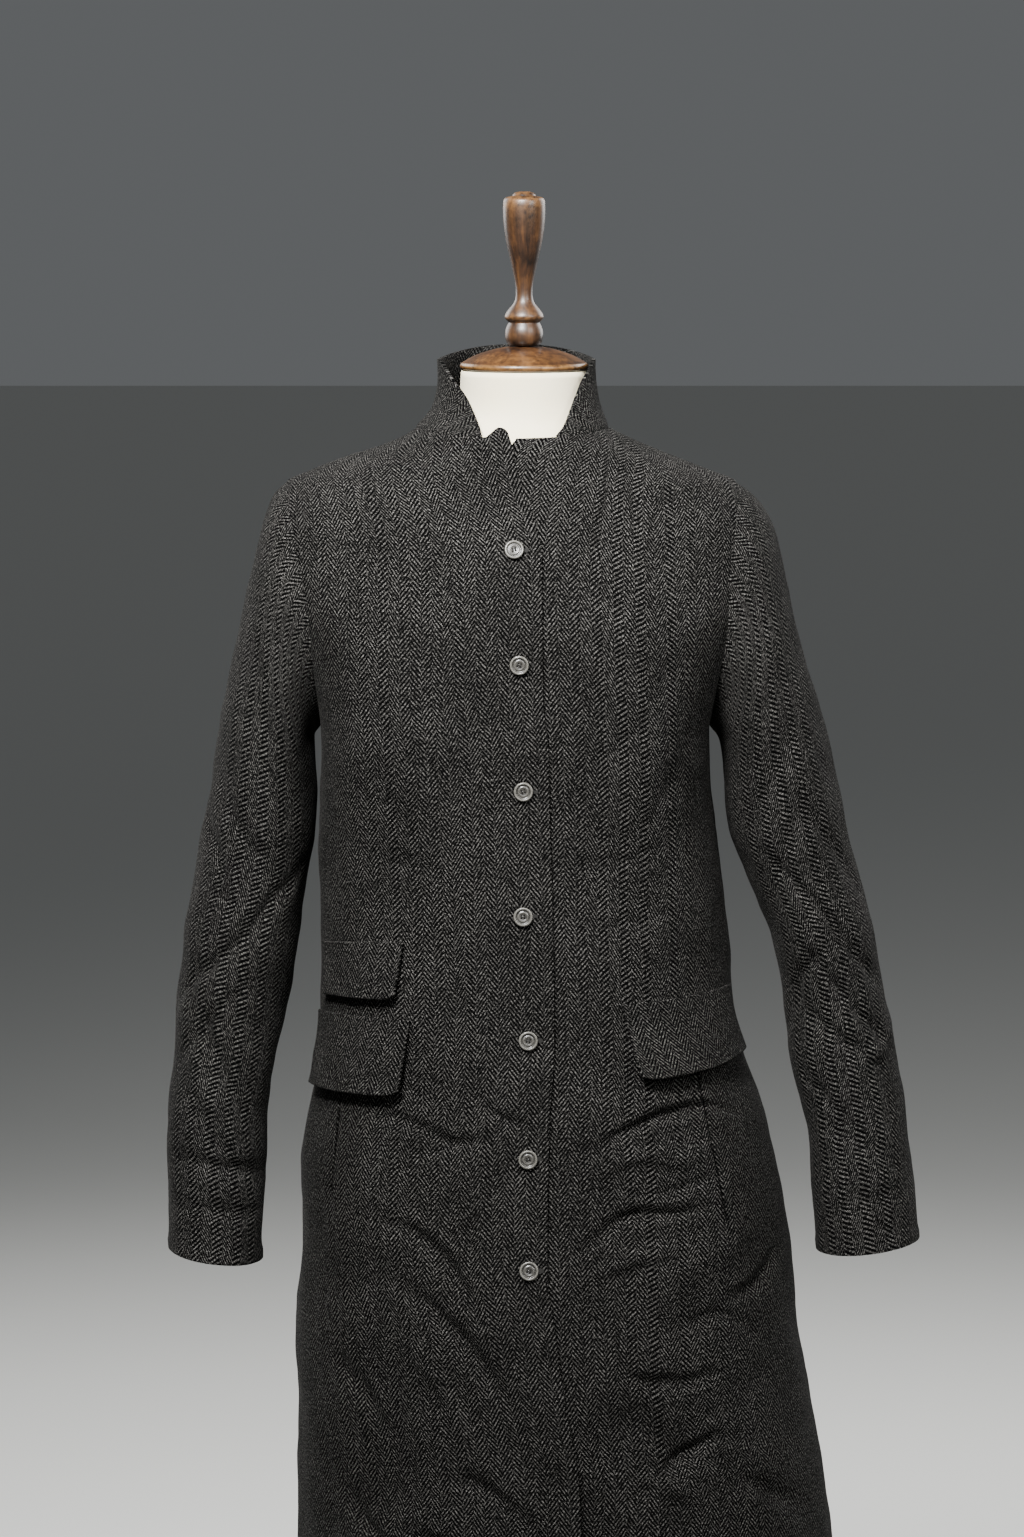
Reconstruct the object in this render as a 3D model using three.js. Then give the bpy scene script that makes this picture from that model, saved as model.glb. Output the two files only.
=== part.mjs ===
// A wool overcoat worn on a limbless dress form.
// Millimetres, +Z up. The front faces -Y and the wearer's right side is at -X.
// The origin is the middle of the base's underside.

import * as THREE from "three";

// Driving sizes
const CLOTH = 2;
const DOUBLE_CLOTH = 3;
const SEAM_GAP = 0.4;
const LAP_RISE = CLOTH + 1.8;
const SEAT_GAP = 0.6;
const HEM_LEVEL = 478;
const UNDERARM_LEVEL = 1149;
const SHOULDER_LEVEL = 1342;
const NECK_LEVEL = 1386;
const CHEST_LEVEL = 1290;
const NECK_DIP = 5;
const NECK_BACK = 9;
const ARMHOLE_FRONT = 76;
const ARMHOLE_BACK = 86;
const ARMHOLE_STEPS = 8;
const BODY_STEPS = 18;
const SHOULDER_LEVELS = [1349, 1357, 1365, 1372, 1379, NECK_LEVEL];
const BUTTON_RADIUS = 7.5;
const NECK_RADIUS = 50;
const NECK_TOP = 1430.7;
const CAP_BOTTOM = 1431;
const CAP_TOP = 1450;
const TORSO_BOTTOM = 745;
const POLE_RADIUS = 15;
const BASE_RADIUS = 178;
const BASE_TOP = 34;

// Level sections of the coat's outer face, from the hem to the neck seam.
// left and right are where the section ends, front and back how deep it is, and power how square.
const BODY = [
  { z: 478, left: -184, right: 251, front: 174, back: 170, power: 2.1 },
  { z: 531, left: -183, right: 245, front: 170, back: 166, power: 2.1 },
  { z: 598, left: -182, right: 232, front: 165, back: 161, power: 2.15 },
  { z: 664, left: -184, right: 221, front: 159, back: 157, power: 2.2 },
  { z: 732, left: -179, right: 215, front: 152, back: 152, power: 2.2 },
  { z: 790, left: -179, right: 206, front: 146, back: 148, power: 2.25 },
  { z: 844, left: -171, right: 191, front: 141, back: 142, power: 2.25 },
  { z: 884, left: -165, right: 177, front: 137, back: 136, power: 2.25 },
  { z: 925, left: -163.5, right: 168, front: 134, back: 130, power: 2.25 },
  { z: 975, left: -163, right: 164, front: 130, back: 124, power: 2.25 },
  { z: 1040, left: -163, right: 158, front: 126, back: 119, power: 2.35 },
  { z: 1090, left: -162.5, right: 151, front: 127, back: 119, power: 2.7 },
  { z: 1149, left: -162, right: 147.5, front: 130, back: 123, power: 3.1 },
  { z: 1215, left: -167, right: 157, front: 131, back: 128, power: 2.8 },
  { z: 1275, left: -175, right: 161, front: 120, back: 127, power: 2.4 },
  { z: 1342, left: -189, right: 169, front: 95, back: 107, power: 1.95 },
  { z: 1352, left: -169, right: 147, front: 90, back: 101, power: 1.95 },
  { z: 1362, left: -143, right: 121, front: 86, back: 96, power: 1.95 },
  { z: 1370, left: -117, right: 101, front: 81, back: 91, power: 2.0 },
  { z: 1378, left: -98, right: 83, front: 77, back: 86, power: 2.1 },
  { z: 1386, left: -86, right: 67, front: 73, back: 80, power: 2.2 },
];

// Where the armhole seams run, as distances to the wearer's right and left.
const ARM_SEAM = [
  { z: 1149, right: 162, left: 147.5 },
  { z: 1170, right: 163, left: 150 },
  { z: 1190, right: 165, left: 153 },
  { z: 1215, right: 167, left: 157 },
  { z: 1240, right: 169, left: 160 },
  { z: 1265, right: 173, left: 160.5 },
  { z: 1290, right: 178, left: 163 },
  { z: 1318, right: 184, left: 167 },
  { z: 1342, right: 189, left: 169 },
];

// The closing: over is the edge of the panel on top, under the hidden edge of the other panel,
// lean how far the top panel's edge leans away from the one below it.
const CLOSING = [
  { z: 478, over: 46, under: -4, lean: 6 },
  { z: 572, over: 42, under: -6, lean: 5 },
  { z: 635, over: 31, under: -12, lean: 4 },
  { z: 682, over: 25, under: -15, lean: 2 },
  { z: 736, over: 18, under: -16, lean: 0 },
  { z: 838, over: 19, under: -17, lean: 0 },
  { z: 915, over: 23, under: -17, lean: 0 },
  { z: 1024, over: 21, under: -21, lean: 0 },
  { z: 1103, over: 19, under: -21, lean: 0 },
  { z: 1142, over: 18, under: -22, lean: 0 },
  { z: 1181, over: 14, under: -24, lean: 0 },
  { z: 1297, over: 13, under: -27, lean: 0 },
  { z: 1319, over: 6, under: -24, lean: 1 },
  { z: 1342, over: -3, under: -18, lean: 2.5 },
  { z: 1357, over: -7, under: -13, lean: 3.5 },
  { z: 1376, over: -14, under: -7, lean: 3.5 },
  { z: 1386, over: -16, under: -5, lean: 3.5 },
];

// Large folds in the skirt and back. They run between two points seen from the front or back.
const FOLDS = [
  { face: "front", x1: 50, z1: 700, x2: 66, z2: 600, width: 22, height: -6 },
  { face: "front", x1: 66, z1: 600, x2: 82, z2: 478, width: 26, height: -11 },
  { face: "front", x1: 80, z1: 706, x2: 95, z2: 606, width: 16, height: -4 },
  { face: "front", x1: 95, z1: 606, x2: 122, z2: 588, width: 15, height: -6 },
  { face: "front", x1: 122, z1: 588, x2: 190, z2: 640, width: 16, height: -4 },
  { face: "front", x1: 105, z1: 718, x2: 172, z2: 757, width: 15, height: 5 },
  { face: "front", x1: 125, z1: 560, x2: 150, z2: 478, width: 24, height: 6 },
  { face: "front", x1: -117, z1: 715, x2: -113, z2: 560, width: 24, height: -7 },
  { face: "front", x1: -67, z1: 635, x2: 20, z2: 565, width: 20, height: -5 },
  { face: "front", x1: -60, z1: 600, x2: -70, z2: 478, width: 26, height: 5 },
  { face: "back", x1: -72, z1: 720, x2: -88, z2: 478, width: 28, height: -10 },
  { face: "back", x1: 58, z1: 700, x2: 84, z2: 478, width: 30, height: -11 },
  { face: "back", x1: -5, z1: 640, x2: 0, z2: 478, width: 26, height: 6 },
  { face: "back", x1: 150, z1: 660, x2: 178, z2: 478, width: 26, height: -7 },
  { face: "back", x1: -105, z1: 1040, x2: 40, z2: 1018, width: 18, height: -4 },
  { face: "back", x1: 110, z1: 1062, x2: 10, z2: 990, width: 18, height: -4 },
];

// Sections of the sleeves after the armhole, from the shoulder to the cuff.
// out is the side away from the body and in the side next to it, as distances from the middle.
const RIGHT_SLEEVE = [
  { outX: 199, outZ: 1333, inX: 163.4, inZ: 1146, front: 77, back: 85, midY: 0 },
  { outX: 206, outZ: 1318, inX: 164.8, inZ: 1143.5, front: 77, back: 83, midY: 0 },
  { outX: 211.5, outZ: 1292, inX: 165.6, inZ: 1141, front: 77, back: 81, midY: 0 },
  { outX: 220, outZ: 1258, inX: 166, inZ: 1137, front: 76, back: 79, midY: 0 },
  { outX: 229, outZ: 1218, inX: 166, inZ: 1131, front: 75, back: 77, midY: 1 },
  { outX: 238, outZ: 1175, inX: 166, inZ: 1118, front: 73, back: 75, midY: 1 },
  { outX: 246.5, outZ: 1125, inX: 166.4, inZ: 1093, front: 71, back: 73, midY: 2 },
  { outX: 255, outZ: 1078, inX: 168.5, inZ: 1060, front: 69, back: 70, midY: 3 },
  { outX: 263.5, outZ: 1033, inX: 174, inZ: 1025, front: 66, back: 67, midY: 4 },
  { outX: 272, outZ: 979, inX: 180, inZ: 977, front: 63, back: 64, midY: 3 },
  { outX: 279, outZ: 927, inX: 188, inZ: 927, front: 60, back: 61, midY: 0 },
  { outX: 283.5, outZ: 878, inX: 199, inZ: 877, front: 58, back: 58, midY: -7 },
  { outX: 286, outZ: 828, inX: 206, inZ: 826, front: 55, back: 55, midY: -15 },
  { outX: 286, outZ: 780, inX: 207, inZ: 776, front: 53, back: 53, midY: -24 },
  { outX: 283.5, outZ: 731, inX: 209.5, inZ: 722, front: 52, back: 51, midY: -33 },
];
const LEFT_SLEEVE = [
  { outX: 182, outZ: 1332, inX: 149.4, inZ: 1146, front: 77, back: 85, midY: 0 },
  { outX: 193, outZ: 1317, inX: 151, inZ: 1144, front: 77, back: 83, midY: 0 },
  { outX: 203, outZ: 1290, inX: 153, inZ: 1142, front: 77, back: 81, midY: 0 },
  { outX: 212, outZ: 1254, inX: 155, inZ: 1139, front: 76, back: 79, midY: 0 },
  { outX: 222, outZ: 1210, inX: 157, inZ: 1133, front: 75, back: 77, midY: 1 },
  { outX: 234, outZ: 1169, inX: 158.5, inZ: 1120, front: 73, back: 75, midY: 1 },
  { outX: 246, outZ: 1124, inX: 159.5, inZ: 1094, front: 71, back: 73, midY: 2 },
  { outX: 257, outZ: 1078, inX: 164, inZ: 1062, front: 69, back: 70, midY: 3 },
  { outX: 267, outZ: 1034, inX: 178, inZ: 1028, front: 66, back: 67, midY: 4 },
  { outX: 280, outZ: 977, inX: 200, inZ: 976, front: 63, back: 64, midY: 3 },
  { outX: 292, outZ: 926, inX: 208.5, inZ: 925, front: 60, back: 61, midY: 0 },
  { outX: 301, outZ: 878, inX: 214, inZ: 877, front: 58, back: 58, midY: -7 },
  { outX: 308, outZ: 826, inX: 226, inZ: 826, front: 55, back: 55, midY: -15 },
  { outX: 313.5, outZ: 782, inX: 231, inZ: 779, front: 53, back: 53, midY: -24 },
  { outX: 315, outZ: 740, inX: 236, inZ: 729.5, front: 52, back: 51, midY: -33 },
];

// Level sections of the collar, by their rise above the neck seam.
// rightEnd and leftEnd are how far round from the front its slanted ends lie, in degrees.
const COLLAR = [
  { rise: 0.5, left: -86, right: 67, front: 73, back: 80, rightEnd: 17, leftEnd: 31 },
  { rise: 8, left: -79.5, right: 64.5, front: 69, back: 76, rightEnd: 21, leftEnd: 35 },
  { rise: 16, left: -75, right: 61.5, front: 66, back: 73, rightEnd: 27, leftEnd: 40 },
  { rise: 28, left: -71.5, right: 58, front: 64, back: 70, rightEnd: 36, leftEnd: 48 },
  { rise: 40, left: -70, right: 56.5, front: 63, back: 68, rightEnd: 50, leftEnd: 58 },
  { rise: 50, left: -69.5, right: 56.5, front: 63, back: 67, rightEnd: 66, leftEnd: 71 },
  { rise: 54, left: -69.5, right: 56.5, front: 63, back: 67, rightEnd: 75, leftEnd: 78 },
];
const COLLAR_POWER = 2.15;
const COLLAR_COLUMNS = 26;

// Pocket flaps. inner is the end near the closing, as X; outer is the end at the side, in degrees.
const FLAPS = [
  {
    name: "ticket_flap", topInnerX: -93, lowInnerX: -97, topOuter: -71, lowOuter: -71,
    topInnerZ: 990, topOuterZ: 981, lowInnerZ: 944, lowOuterZ: 939, stand: 3,
  },
  {
    name: "flap_right", topInnerX: -87, lowInnerX: -93, topOuter: -78, lowOuter: -80,
    topInnerZ: 930, topOuterZ: 924, lowInnerZ: 869, lowOuterZ: 864, stand: 6,
  },
  {
    name: "flap_left", topInnerX: 75, lowInnerX: 87, topOuter: 74, lowOuter: 78,
    topInnerZ: 942, topOuterZ: 946, lowInnerZ: 882, lowOuterZ: 893, stand: 6,
  },
];

const BUTTONS = [
  { x: -8, z: 1297 },
  { x: -4, z: 1209 },
  { x: -1, z: 1110 },
  { x: -1, z: 1012 },
  { x: 3, z: 915 },
  { x: 3, z: 823 },
  { x: 4, z: 736 },
];

// Sections of the form's body under the coat, up to where it carries the shoulders.
const TORSO = [
  { z: 745, half: 146, front: 110, back: 116 },
  { z: 800, half: 150, front: 114, back: 122 },
  { z: 860, half: 150, front: 115, back: 122 },
  { z: 925, half: 143, front: 110, back: 114 },
  { z: 1010, half: 120, front: 94, back: 92 },
  { z: 1090, half: 126, front: 102, back: 96 },
  { z: 1170, half: 134, front: 121, back: 106 },
  { z: 1215, half: 139, front: 121, back: 112 },
  { z: 1275, half: 146, front: 106, back: 112 },
];
const NECK = [
  { z: 1380, left: -84, right: 66, front: 66, back: 72 },
  { z: 1387, left: -68, right: 58, front: 57, back: 61 },
  { z: 1396, left: -57, right: 53.5, front: 52, back: 55 },
  { z: 1410, left: -51.5, right: 50.5, front: 50, back: 51 },
  { z: NECK_TOP, left: -NECK_RADIUS, right: NECK_RADIUS, front: NECK_RADIUS, back: NECK_RADIUS },
];

const wool = new THREE.MeshStandardMaterial({ color: "#3d3c3d", roughness: 0.95, metalness: 0 });
const horn = new THREE.MeshStandardMaterial({ color: "#55544f", roughness: 0.35, metalness: 0 });
const cotton = new THREE.MeshStandardMaterial({ color: "#ddd6c4", roughness: 0.9, metalness: 0 });
const wood = new THREE.MeshStandardMaterial({ color: "#6e3a1c", roughness: 0.4, metalness: 0 });

const overcoat = new THREE.Group();

function add(name, geometry, material) {
  const mesh = new THREE.Mesh(geometry, material);
  mesh.name = name;
  overcoat.add(mesh);
  return mesh;
}

// Reads one column of a table at a place between its rows, along a smooth curve with no overshoot.
function read(table, key, at, column) {
  const last = table.length - 1;
  if (at <= table[0][key]) return table[0][column];
  if (at >= table[last][key]) return table[last][column];
  let i = 0;
  while (table[i + 1][key] < at) i += 1;
  const slope = (j) => {
    if (j < 0 || j >= last) return null;
    return (table[j + 1][column] - table[j][column]) / (table[j + 1][key] - table[j][key]);
  };
  const tangent = (j) => {
    const before = slope(j - 1) ?? slope(j);
    const after = slope(j) ?? slope(j - 1);
    return before * after <= 0 ? 0 : (2 * before * after) / (before + after);
  };
  const span = table[i + 1][key] - table[i][key];
  const t = (at - table[i][key]) / span;
  return (
    (2 * t ** 3 - 3 * t ** 2 + 1) * table[i][column] +
    (t ** 3 - 2 * t ** 2 + t) * span * tangent(i) +
    (3 * t ** 2 - 2 * t ** 3) * table[i + 1][column] +
    (t ** 3 - t ** 2) * span * tangent(i + 1)
  );
}

function degrees(angle) {
  return (angle * Math.PI) / 180;
}

// A point of an oval section. Angle 0 is the front and a positive angle turns towards +X.
function ovalPoint(section, angle) {
  const across = Math.sin(angle);
  const along = Math.cos(angle);
  const middle = (section.left + section.right) / 2;
  const half = (section.right - section.left) / 2;
  const depth = along > 0 ? -section.front : section.back;
  return new THREE.Vector2(
    middle + half * Math.sign(across) * Math.abs(across) ** (2 / section.power),
    depth * Math.abs(along) ** (2 / section.power),
  );
}

// How far in front of or behind the middle the armhole seam lies at a level.
function armholeDepth(level, facing) {
  const turn = (2 * (level - UNDERARM_LEVEL)) / (SHOULDER_LEVEL - UNDERARM_LEVEL) - 1;
  const size = facing > 0 ? ARMHOLE_FRONT : ARMHOLE_BACK;
  return Math.abs(turn) >= 1 ? 0 : size * Math.sqrt(1 - turn ** 2);
}

// The coat's level section. Beside the armholes it is wide enough to pass through their seams.
function bodySection(level, facing, proud = 0) {
  const section = {};
  for (const column of ["left", "right", "front", "back", "power"]) {
    section[column] = read(BODY, "z", level, column);
  }
  if (level > UNDERARM_LEVEL && level < SHOULDER_LEVEL) {
    const right = -read(ARM_SEAM, "z", level, "right");
    const left = read(ARM_SEAM, "z", level, "left");
    const depth = facing > 0 ? section.front : section.back;
    const reach = (armholeDepth(level, facing) / depth) ** section.power;
    const half = (left - right) / 2 / (1 - reach) ** (1 / section.power);
    section.left = (left + right) / 2 - half;
    section.right = (left + right) / 2 + half;
  }
  section.left -= proud;
  section.right += proud;
  section.front += proud;
  section.back += proud;
  return section;
}

function ease(t) {
  const clamped = Math.min(1, Math.max(0, t));
  return clamped * clamped * (3 - 2 * clamped);
}

// The height of the folds at a place on the front or back.
function foldHeight(face, x, z) {
  let height = 0;
  for (const fold of FOLDS.filter((row) => row.face === face)) {
    const run = new THREE.Vector2(fold.x2 - fold.x1, fold.z2 - fold.z1);
    const from = new THREE.Vector2(x - fold.x1, z - fold.z1);
    const along = Math.min(1, Math.max(0, from.dot(run) / run.lengthSq()));
    const away = from.distanceTo(run.clone().multiplyScalar(along)) / fold.width;
    height += fold.height * Math.exp(-(away ** 2)) * (0.55 + 0.45 * along);
  }
  return height;
}

// How far the neck seam dips in front and rises at the back.
function neckRise(angle) {
  const along = Math.cos(angle);
  return (along > 0 ? -NECK_DIP : NECK_BACK) * along ** 2;
}

// A point on the coat's outer face, moved out by proud.
function coatPoint(level, angle, proud = 0) {
  const facing = Math.cos(angle) >= 0 ? 1 : -1;
  const flat = ovalPoint(bodySection(level, facing), angle);
  const side = Math.abs(Math.sin(angle)) ** 6;
  const folds = foldHeight(facing > 0 ? "front" : "back", flat.x, level) * (1 - side);
  const moved = ovalPoint(bodySection(level, facing, proud + folds), angle);
  const rise = neckRise(angle) * ease((level - CHEST_LEVEL) / (NECK_LEVEL - CHEST_LEVEL));
  return new THREE.Vector3(moved.x, moved.y, level + rise);
}

// The angle at which the front of a section reaches a given X.
function angleAtX(level, x) {
  const section = bodySection(level, 1);
  const middle = (section.left + section.right) / 2;
  const half = (section.right - section.left) / 2;
  const share = Math.abs(x - middle) / half;
  return Math.sign(x - middle) * Math.asin(Math.min(1, share) ** (section.power / 2));
}

// The angle, from the front or from the back, at which a panel ends at its armhole or side seam.
function seamAngle(level, facing) {
  const section = bodySection(level, facing);
  const depth = facing > 0 ? section.front : section.back;
  const out = Math.max(armholeDepth(level, facing), SEAM_GAP / 2);
  return Math.acos((out / depth) ** (section.power / 2));
}

function bodyLevels() {
  const levels = [];
  for (let i = 0; i < BODY_STEPS; i += 1) {
    levels.push(HEM_LEVEL + ((UNDERARM_LEVEL - HEM_LEVEL) * i) / BODY_STEPS);
  }
  const half = (SHOULDER_LEVEL - UNDERARM_LEVEL) / 2;
  for (let i = 0; i <= ARMHOLE_STEPS; i += 1) {
    levels.push(UNDERARM_LEVEL + half * (1 - Math.cos((Math.PI * i) / ARMHOLE_STEPS)));
  }
  return levels.concat(SHOULDER_LEVELS);
}

// Outward directions of a grid of points, whose columns run to the right as its rows run up.
function gridNormals(grid, closed) {
  const columns = grid[0].length;
  return grid.map((row, i) =>
    row.map((_, j) => {
      const below = grid[Math.max(0, i - 1)][j];
      const above = grid[Math.min(grid.length - 1, i + 1)][j];
      const before = closed ? row[(j + columns - 1) % columns] : row[Math.max(0, j - 1)];
      const after = closed ? row[(j + 1) % columns] : row[Math.min(columns - 1, j + 1)];
      const up = above.clone().sub(below);
      return after.clone().sub(before).cross(up).normalize();
    }),
  );
}

// A closed cloth wall between a grid of outer points and the same grid moved in by its thickness.
// keep lets an edge's direction be changed so that the wall ends square on its seam.
function clothWall(outer, thickness, closed, keep = (direction) => direction) {
  const rows = outer.length;
  const columns = outer[0].length;
  const normals = gridNormals(outer, closed);
  const points = [];
  outer.forEach((row) => row.forEach((point) => points.push(point)));
  outer.forEach((row, i) =>
    row.forEach((point, j) => {
      const direction = keep(normals[i][j], i, j, point).clone().normalize();
      points.push(point.clone().addScaledVector(direction, -thickness));
    }),
  );
  const at = (layer, i, j) => layer * rows * columns + i * columns + (j % columns);
  const faces = [];
  const quad = (a, b, c, d) => faces.push(a, b, c, a, c, d);
  const spans = closed ? columns : columns - 1;
  for (let i = 0; i < rows - 1; i += 1) {
    for (let j = 0; j < spans; j += 1) {
      quad(at(0, i, j), at(0, i, j + 1), at(0, i + 1, j + 1), at(0, i + 1, j));
      quad(at(1, i, j), at(1, i + 1, j), at(1, i + 1, j + 1), at(1, i, j + 1));
    }
  }
  for (let j = 0; j < spans; j += 1) {
    quad(at(0, 0, j), at(1, 0, j), at(1, 0, j + 1), at(0, 0, j + 1));
    quad(at(0, rows - 1, j), at(0, rows - 1, j + 1), at(1, rows - 1, j + 1), at(1, rows - 1, j));
  }
  for (let i = 0; !closed && i < rows - 1; i += 1) {
    const end = columns - 1;
    quad(at(0, i, 0), at(0, i + 1, 0), at(1, i + 1, 0), at(1, i, 0));
    quad(at(0, i, end), at(1, i, end), at(1, i + 1, end), at(0, i + 1, end));
  }
  return solid(points, faces);
}

function solid(points, faces) {
  const geometry = new THREE.BufferGeometry();
  const numbers = points.flatMap((point) => [point.x, point.y, point.z]);
  geometry.setAttribute("position", new THREE.Float32BufferAttribute(numbers, 3));
  geometry.setIndex(faces);
  geometry.computeVertexNormals();
  return geometry;
}

// A solid through level rings of points, closed by a fan at each end.
function ringSolid(rings) {
  const columns = rings[0].length;
  const points = rings.flat();
  const middle = (ring) => {
    const sum = ring.reduce((total, point) => total.add(point), new THREE.Vector3());
    return sum.divideScalar(ring.length);
  };
  const low = points.push(middle(rings[0])) - 1;
  const high = points.push(middle(rings[rings.length - 1])) - 1;
  const top = (rings.length - 1) * columns;
  const faces = [];
  for (let j = 0; j < columns; j += 1) {
    const next = (j + 1) % columns;
    for (let i = 0; i < rings.length - 1; i += 1) {
      const row = i * columns;
      faces.push(row + j, row + next, row + columns + next);
      faces.push(row + j, row + columns + next, row + columns + j);
    }
    faces.push(low, next, j);
    faces.push(high, top + j, top + next);
  }
  return solid(points, faces);
}

// A panel's wall ends flat on the side and shoulder seams, and beside the sleeve at the armhole.
function squareOnSeam(level, direction) {
  const square = direction.clone();
  if (level > UNDERARM_LEVEL && level < SHOULDER_LEVEL) square.x = 0;
  else square.y = 0;
  return square;
}

// The places of a front panel's columns: a few close to the closing edge, the rest evenly spaced.
const EDGE_COLUMNS = [0, 9, 19, 32];
const PANEL_COLUMNS = 9;

// How far the right front panel stands out: it lies on the left one and leans away at its ends.
const LAP_START = 42;
const LAP_SLOPE = 26;
const LEAN_WIDTH = 38;

function closingProud(level, x) {
  const over = read(CLOSING, "z", level, "over");
  const under = read(CLOSING, "z", level, "under");
  const lean = read(CLOSING, "z", level, "lean");
  const lap = LAP_RISE * ease((x - under + LAP_START) / LAP_SLOPE);
  return lap + lean * ease(1 - (over - x) / LEAN_WIDTH);
}

// The raised corner of the right front panel beside the collar's end.
const PEAK = { height: 9, fromEdge: 5, reach: 13, from: 1366 };

function cornerPeak(level, x) {
  const over = read(CLOSING, "z", level, "over");
  const near = 1 - Math.abs(over - x - PEAK.fromEdge) / PEAK.reach;
  return PEAK.height * ease(near) * ease((level - PEAK.from) / (NECK_LEVEL - PEAK.from));
}

function frontPanel(side) {
  const levels = bodyLevels();
  const column = side < 0 ? "over" : "under";
  const grid = levels.map((level) => {
    const edge = read(CLOSING, "z", level, column);
    const angles = EDGE_COLUMNS.map((distance) => angleAtX(level, edge + side * distance));
    const from = angles[angles.length - 1];
    const to = side * seamAngle(level, 1);
    for (let i = 1; i <= PANEL_COLUMNS; i += 1) {
      angles.push(from + ((to - from) * i) / PANEL_COLUMNS);
    }
    const row = angles.map((angle) => {
      const x = coatPoint(level, angle).x;
      const point = coatPoint(level, angle, side < 0 ? closingProud(level, x) : 0);
      if (side < 0) point.z += cornerPeak(level, x);
      return point;
    });
    return side < 0 ? row.reverse() : row;
  });
  const seam = side < 0 ? 0 : grid[0].length - 1;
  return clothWall(grid, CLOTH, false, (direction, i, j) =>
    j === seam ? squareOnSeam(levels[i], direction) : direction,
  );
}

const BACK_COLUMNS = 18;

function backPanel() {
  const levels = bodyLevels();
  const grid = levels.map((level) => {
    const from = seamAngle(level, -1);
    const row = [];
    for (let i = 0; i <= BACK_COLUMNS; i += 1) {
      const turn = Math.PI - from + (2 * from * i) / BACK_COLUMNS;
      row.push(coatPoint(level, turn));
    }
    return row;
  });
  return clothWall(grid, CLOTH, false, (direction, i, j) =>
    j === 0 || j === BACK_COLUMNS ? squareOnSeam(levels[i], direction) : direction,
  );
}

// A point of the armhole seam. Turn 0 is at the shoulder, a quarter turn at the front.
function armholePoint(side, turn) {
  const middle = (UNDERARM_LEVEL + SHOULDER_LEVEL) / 2;
  const level = middle + ((SHOULDER_LEVEL - UNDERARM_LEVEL) / 2) * Math.cos(turn);
  const depth = Math.sin(turn) > 0 ? -ARMHOLE_FRONT : ARMHOLE_BACK;
  const out = read(ARM_SEAM, "z", level, side < 0 ? "right" : "left");
  const x = side * (out + SEAM_GAP);
  return new THREE.Vector3(x, depth * Math.abs(Math.sin(turn)), level);
}

// A point of a sleeve section, which is an oval leaning between its outer and inner side.
function sleevePoint(side, section, turn) {
  const lean = (1 + Math.cos(turn)) / 2;
  const depth = Math.sin(turn) > 0 ? -section.front : section.back;
  return new THREE.Vector3(
    side * (section.inX + (section.outX - section.inX) * lean),
    section.midY + depth * Math.abs(Math.sin(turn)),
    section.inZ + (section.outZ - section.inZ) * lean,
  );
}

// Soft folds of a sleeve: where they lie along it and round it, and how high they are.
const SLEEVE_FOLDS = [
  { z: 1040, turn: 80, length: 26, spread: 60, height: -3 },
  { z: 985, turn: 20, length: 22, spread: 50, height: 2.5 },
  { z: 930, turn: 130, length: 24, spread: 55, height: -3 },
  { z: 880, turn: 45, length: 26, spread: 60, height: -2.5 },
  { z: 905, turn: 270, length: 30, spread: 60, height: -3 },
];

function sleeveFold(z, turn) {
  let height = 0;
  for (const fold of SLEEVE_FOLDS) {
    const round = Math.abs(((turn * 180) / Math.PI - fold.turn + 540) % 360 - 180) / fold.spread;
    const along = (z - fold.z) / fold.length;
    height += fold.height * Math.exp(-(along ** 2) - round ** 2);
  }
  return height;
}

function sleeve(side, table) {
  const columns = 2 * ARMHOLE_STEPS;
  const first = {
    outX: Math.abs(armholePoint(side, 0).x),
    outZ: SHOULDER_LEVEL,
    inX: Math.abs(armholePoint(side, Math.PI).x),
    inZ: UNDERARM_LEVEL,
    front: ARMHOLE_FRONT,
    back: ARMHOLE_BACK,
    midY: 0,
  };
  const sections = [first, ...table].map((section, place) => ({ place, ...section }));
  const places = [];
  for (let place = 0; place < sections.length; place += 1) {
    places.push(place);
    if (place > 8 && place < sections.length - 1) places.push(place + 0.5);
  }
  const grid = places.map((place) => {
    const section = {};
    for (const column of ["outX", "outZ", "inX", "inZ", "front", "back", "midY"]) {
      section[column] = read(sections, "place", place, column);
    }
    const fade = Math.max(0, 1 - place / 3);
    const row = [];
    for (let j = 0; j < columns; j += 1) {
      const turn = (2 * Math.PI * j) / columns;
      const bend = armholePoint(side, turn).sub(sleevePoint(side, first, turn));
      const point = sleevePoint(side, section, turn).addScaledVector(bend, fade);
      const fold = sleeveFold(point.z, turn) * ease((place - 5) / 3);
      point.x += side * fold * Math.cos(turn);
      point.y -= fold * Math.sin(turn);
      row.push(point);
    }
    return side < 0 ? row.reverse() : row;
  });
  return clothWall(grid, CLOTH, true, (direction, i) => {
    if (i > 0) return direction;
    return new THREE.Vector3(0, direction.y, direction.z);
  });
}

function collar() {
  const grid = COLLAR.map((section) => {
    const oval = { ...section, power: COLLAR_POWER };
    const from = degrees(section.leftEnd);
    const to = 2 * Math.PI - degrees(section.rightEnd);
    const row = [];
    for (let i = 0; i <= COLLAR_COLUMNS; i += 1) {
      const angle = from + ((to - from) * i) / COLLAR_COLUMNS;
      const flat = ovalPoint(oval, angle);
      row.push(new THREE.Vector3(flat.x, flat.y, NECK_LEVEL + neckRise(angle) + section.rise));
    }
    return row;
  });
  return clothWall(grid, DOUBLE_CLOTH, false);
}

const FLAP_COLUMNS = 8;
const FLAP_ROWS = 4;

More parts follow.
